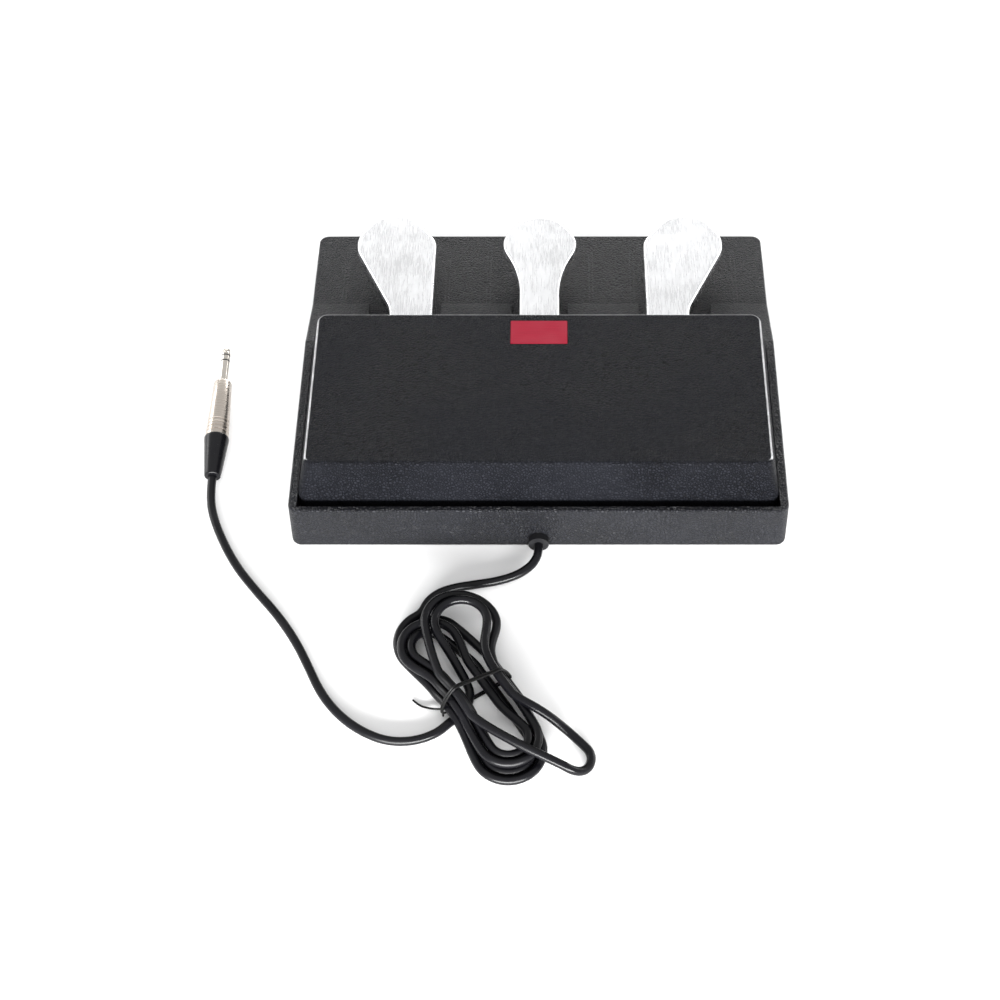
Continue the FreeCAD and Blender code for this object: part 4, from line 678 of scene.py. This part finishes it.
def soft_rubber(name, body, bloom, rough=0.6, gloss=0.4, coarse=500.0, deep=0.00003):
    """Rubber or soft PVC with a faint bloom."""
    material, tree, shader, point = start_finish(name, Specular_IOR_Level=gloss)
    dust = place_effect(tree, "dust", Point=point, Size=26.0)
    fine = add(tree, "ShaderNodeTexNoise")
    feed(tree, fine, Vector=point, Scale=coarse, Detail=3.0)
    colour = tint(tree, maths(tree, "MULTIPLY", dust.outputs["Patch"], 0.45), body, bloom)
    colour = tint(tree, maths(tree, "MULTIPLY", dust.outputs["Speck"], 0.25), colour,
                  (0.04, 0.04, 0.04))
    feed(tree, shader, Base_Color=colour,
         Roughness=remap(tree, dust.outputs["Patch"], 0, 1, rough - 0.08, rough + 0.08))
    bump(tree, shader, fine.outputs["Fac"], deep)
    return material


def pressed_felt(name, body, pale):
    material, tree, shader, point = start_finish(name, Roughness=0.95, Specular_IOR_Level=0.1)
    strands = add(tree, "ShaderNodeTexNoise")
    feed(tree, strands, Vector=point, Scale=1800.0, Detail=6.0, Distortion=1.5)
    feed(tree, shader, Base_Color=tint(tree, strands.outputs["Fac"], body, pale))
    bump(tree, shader, strands.outputs["Fac"], 0.0003)
    return material


def enamel_badge(name, body, rim):
    """Coloured badge, left plain, with a slightly deeper colour at its rim."""
    material, tree, shader, point = start_finish(name, Specular_IOR_Level=0.3)
    edge = place_effect(tree, "edge", Point=point, Reach=0.0012)
    dust = place_effect(tree, "dust", Point=point, Size=60.0)
    brush = place_effect(tree, "brush", Point=point, Stretch=(60.0, 1400.0, 60.0))
    colour = tint(tree, maths(tree, "MULTIPLY", brush.outputs["Line"], 0.35), body, rim)
    colour = tint(tree, edge.outputs["Mask"], colour, rim)
    feed(tree, shader, Base_Color=colour,
         Roughness=remap(tree, dust.outputs["Patch"], 0, 1, 0.28, 0.4))
    bump(tree, shader, brush.outputs["Line"], 0.00001)
    return material


def board_laminate(name):
    """Green solder mask over paler copper tracks."""
    material, tree, shader, point = start_finish(name, Specular_IOR_Level=0.5)
    tracks = add(tree, "ShaderNodeTexVoronoi", feature="DISTANCE_TO_EDGE")
    feed(tree, tracks, Vector=point, Scale=170.0, Randomness=0.35)
    track = remap(tree, tracks.outputs["Distance"], 0.06, 0.10, 1.0, 0.0)
    dust = place_effect(tree, "dust", Point=point, Size=50.0)
    colour = tint(tree, track, (0.012, 0.10, 0.035), (0.05, 0.24, 0.08))
    feed(tree, shader, Base_Color=colour,
         Roughness=remap(tree, dust.outputs["Patch"], 0, 1, 0.25, 0.4))
    bump(tree, shader, track, 0.00004)
    return material


BLACK = (0.0072, 0.0077, 0.0100)
FINISHES = {
    # In each grained finish the fourth colour is the painted highlight on the rounded shoulders,
    # pale on the hood.
    "base_plastic": grained_plastic("grained_base", BLACK, (0.0015, 0.0015, 0.002),
                                    (0.03, 0.03, 0.033), (0.06, 0.06, 0.065), 480.0, 0.0007,
                                    0.42, 0.17),
    "cover_plastic": grained_plastic("grained_hood", BLACK, (0.0015, 0.0015, 0.002),
                                     (0.035, 0.035, 0.038), (0.52, 0.52, 0.53), 520.0, 0.0007,
                                     0.45, 0.05),
    "badge_red": enamel_badge("plain_red_badge", (0.25, 0.006, 0.022), (0.17, 0.004, 0.015)),
    "plate_steel": plain_plastic("powder_coat", (0.02, 0.02, 0.021), (0.09, 0.09, 0.09),
                                 0.6, 0.4, 1500.0, 0.00006),
    "foot_rubber": soft_rubber("foot_rubber", (0.018, 0.018, 0.018), (0.04, 0.04, 0.04), 0.8),
    "screw_steel": drawn_metal("zinc_screws", (0.55, 0.56, 0.57), (0.36, 0.36, 0.35), 0.32,
                               (400.0, 400.0, 400.0)),
    "chassis_steel": drawn_metal("zinc_sheet", (0.60, 0.62, 0.64), (0.42, 0.43, 0.45), 0.38,
                                 (40.0, 500.0, 500.0), 0.00001, (0.75, 0.75, 0.75), 0.5),
    "axle_steel": drawn_metal("ground_axle", (0.66, 0.66, 0.67), (0.48, 0.48, 0.49), 0.22,
                              (2500.0, 60.0, 60.0)),
    "clip_steel": drawn_metal("phosphated_clips", (0.16, 0.16, 0.165), (0.08, 0.08, 0.085), 0.5,
                              (300.0, 300.0, 300.0), 0.00001, (0.35, 0.35, 0.35)),
    "pedal_metal": drawn_metal("satin_pedals", (0.78, 0.785, 0.795), (0.745, 0.75, 0.76), 0.28,
                               (1500.0, 8.0, 1500.0), 0.0000002, (0.97, 0.97, 0.98), 0.05),
    "bush_nylon": plain_plastic("natural_nylon", (0.78, 0.75, 0.66), (0.85, 0.83, 0.76), 0.5),
    "spring_steel": drawn_metal("spring_wire", (0.50, 0.50, 0.52), (0.33, 0.33, 0.35), 0.28,
                                (200.0, 200.0, 1800.0)),
    "cup_plastic": plain_plastic("black_cups", (0.02, 0.02, 0.02), (0.07, 0.07, 0.07), 0.5),
    "stop_rubber": soft_rubber("stop_rubber", (0.02, 0.02, 0.02), (0.05, 0.05, 0.05), 0.75),
    "stop_felt": pressed_felt("stop_felt", (0.28, 0.02, 0.02), (0.5, 0.07, 0.06)),
    "magnet_metal": drawn_metal("nickel_magnets", (0.70, 0.69, 0.66), (0.5, 0.49, 0.46), 0.2),
    "board_laminate": board_laminate("solder_mask"),
    "spacer_brass": drawn_metal("turned_brass", (0.72, 0.52, 0.22), (0.5, 0.34, 0.12), 0.28,
                                (60.0, 60.0, 2200.0), 0.00001, (0.85, 0.68, 0.36)),
    "sensor_body": plain_plastic("sensor_epoxy", (0.015, 0.015, 0.015), (0.05, 0.05, 0.05), 0.4),
    "connector_body": plain_plastic("connector_nylon", (0.72, 0.69, 0.58), (0.8, 0.78, 0.7), 0.5),
    "clamp_plastic": plain_plastic("clamp_nylon", (0.025, 0.025, 0.025), (0.09, 0.09, 0.09), 0.5),
    "gland_plastic": plain_plastic("gland_nylon", (0.006, 0.006, 0.007), (0.02, 0.02, 0.02), 0.45,
                                   0.2),
    "cord_sheath": soft_rubber("cord_sheath", (0.0022, 0.0022, 0.003), (0.004, 0.004, 0.005), 0.3,
                               0.2),
    "tie_wire": plain_plastic("sleeved_wire", (0.003, 0.003, 0.003), (0.006, 0.006, 0.006), 0.4,
                              0.2),
    "contact_nickel": drawn_metal("nickel_contacts", (0.62, 0.58, 0.53), (0.50, 0.46, 0.41), 0.16,
                                  (60.0, 1600.0, 60.0), 0.000002, (0.75, 0.71, 0.66)),
    "insulator_plastic": plain_plastic("insulator_rings", (0.012, 0.012, 0.012),
                                       (0.03, 0.03, 0.03), 0.35),
    "barrel_nickel": drawn_metal("satin_nickel", (0.50, 0.45, 0.40), (0.45, 0.405, 0.36), 0.27,
                                 (60.0, 1800.0, 60.0), 0.0000005, (0.62, 0.57, 0.52)),
    "boot_rubber": soft_rubber("boot_moulding", (0.002, 0.002, 0.003), (0.0035, 0.0035, 0.004),
                               0.22, 0.25),
}


def paint(piece, finish):
    """One finish over the whole piece."""
    if piece.material_slots:
        for place in piece.material_slots:
            place.material = finish
    else:
        piece.data.materials.append(finish)


def finish_all(made):
    """Give each CAD node and each made piece the finish of its material slot."""
    for part in frame["record"]["subparts"]:
        paint(nodes[part["node"]], FINISHES[part["material_slot"]])
    for piece in made:
        paint(piece, FINISHES[piece["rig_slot"]])


make_camera()
cord_piece = make_cord()
tie_piece = make_tie()
plug_pieces = make_plug()
spring_pieces = make_springs()
make_floor()
make_light()
finish_all(plug_pieces + spring_pieces + [cord_piece, tie_piece])

bpy.context.view_layer.update()
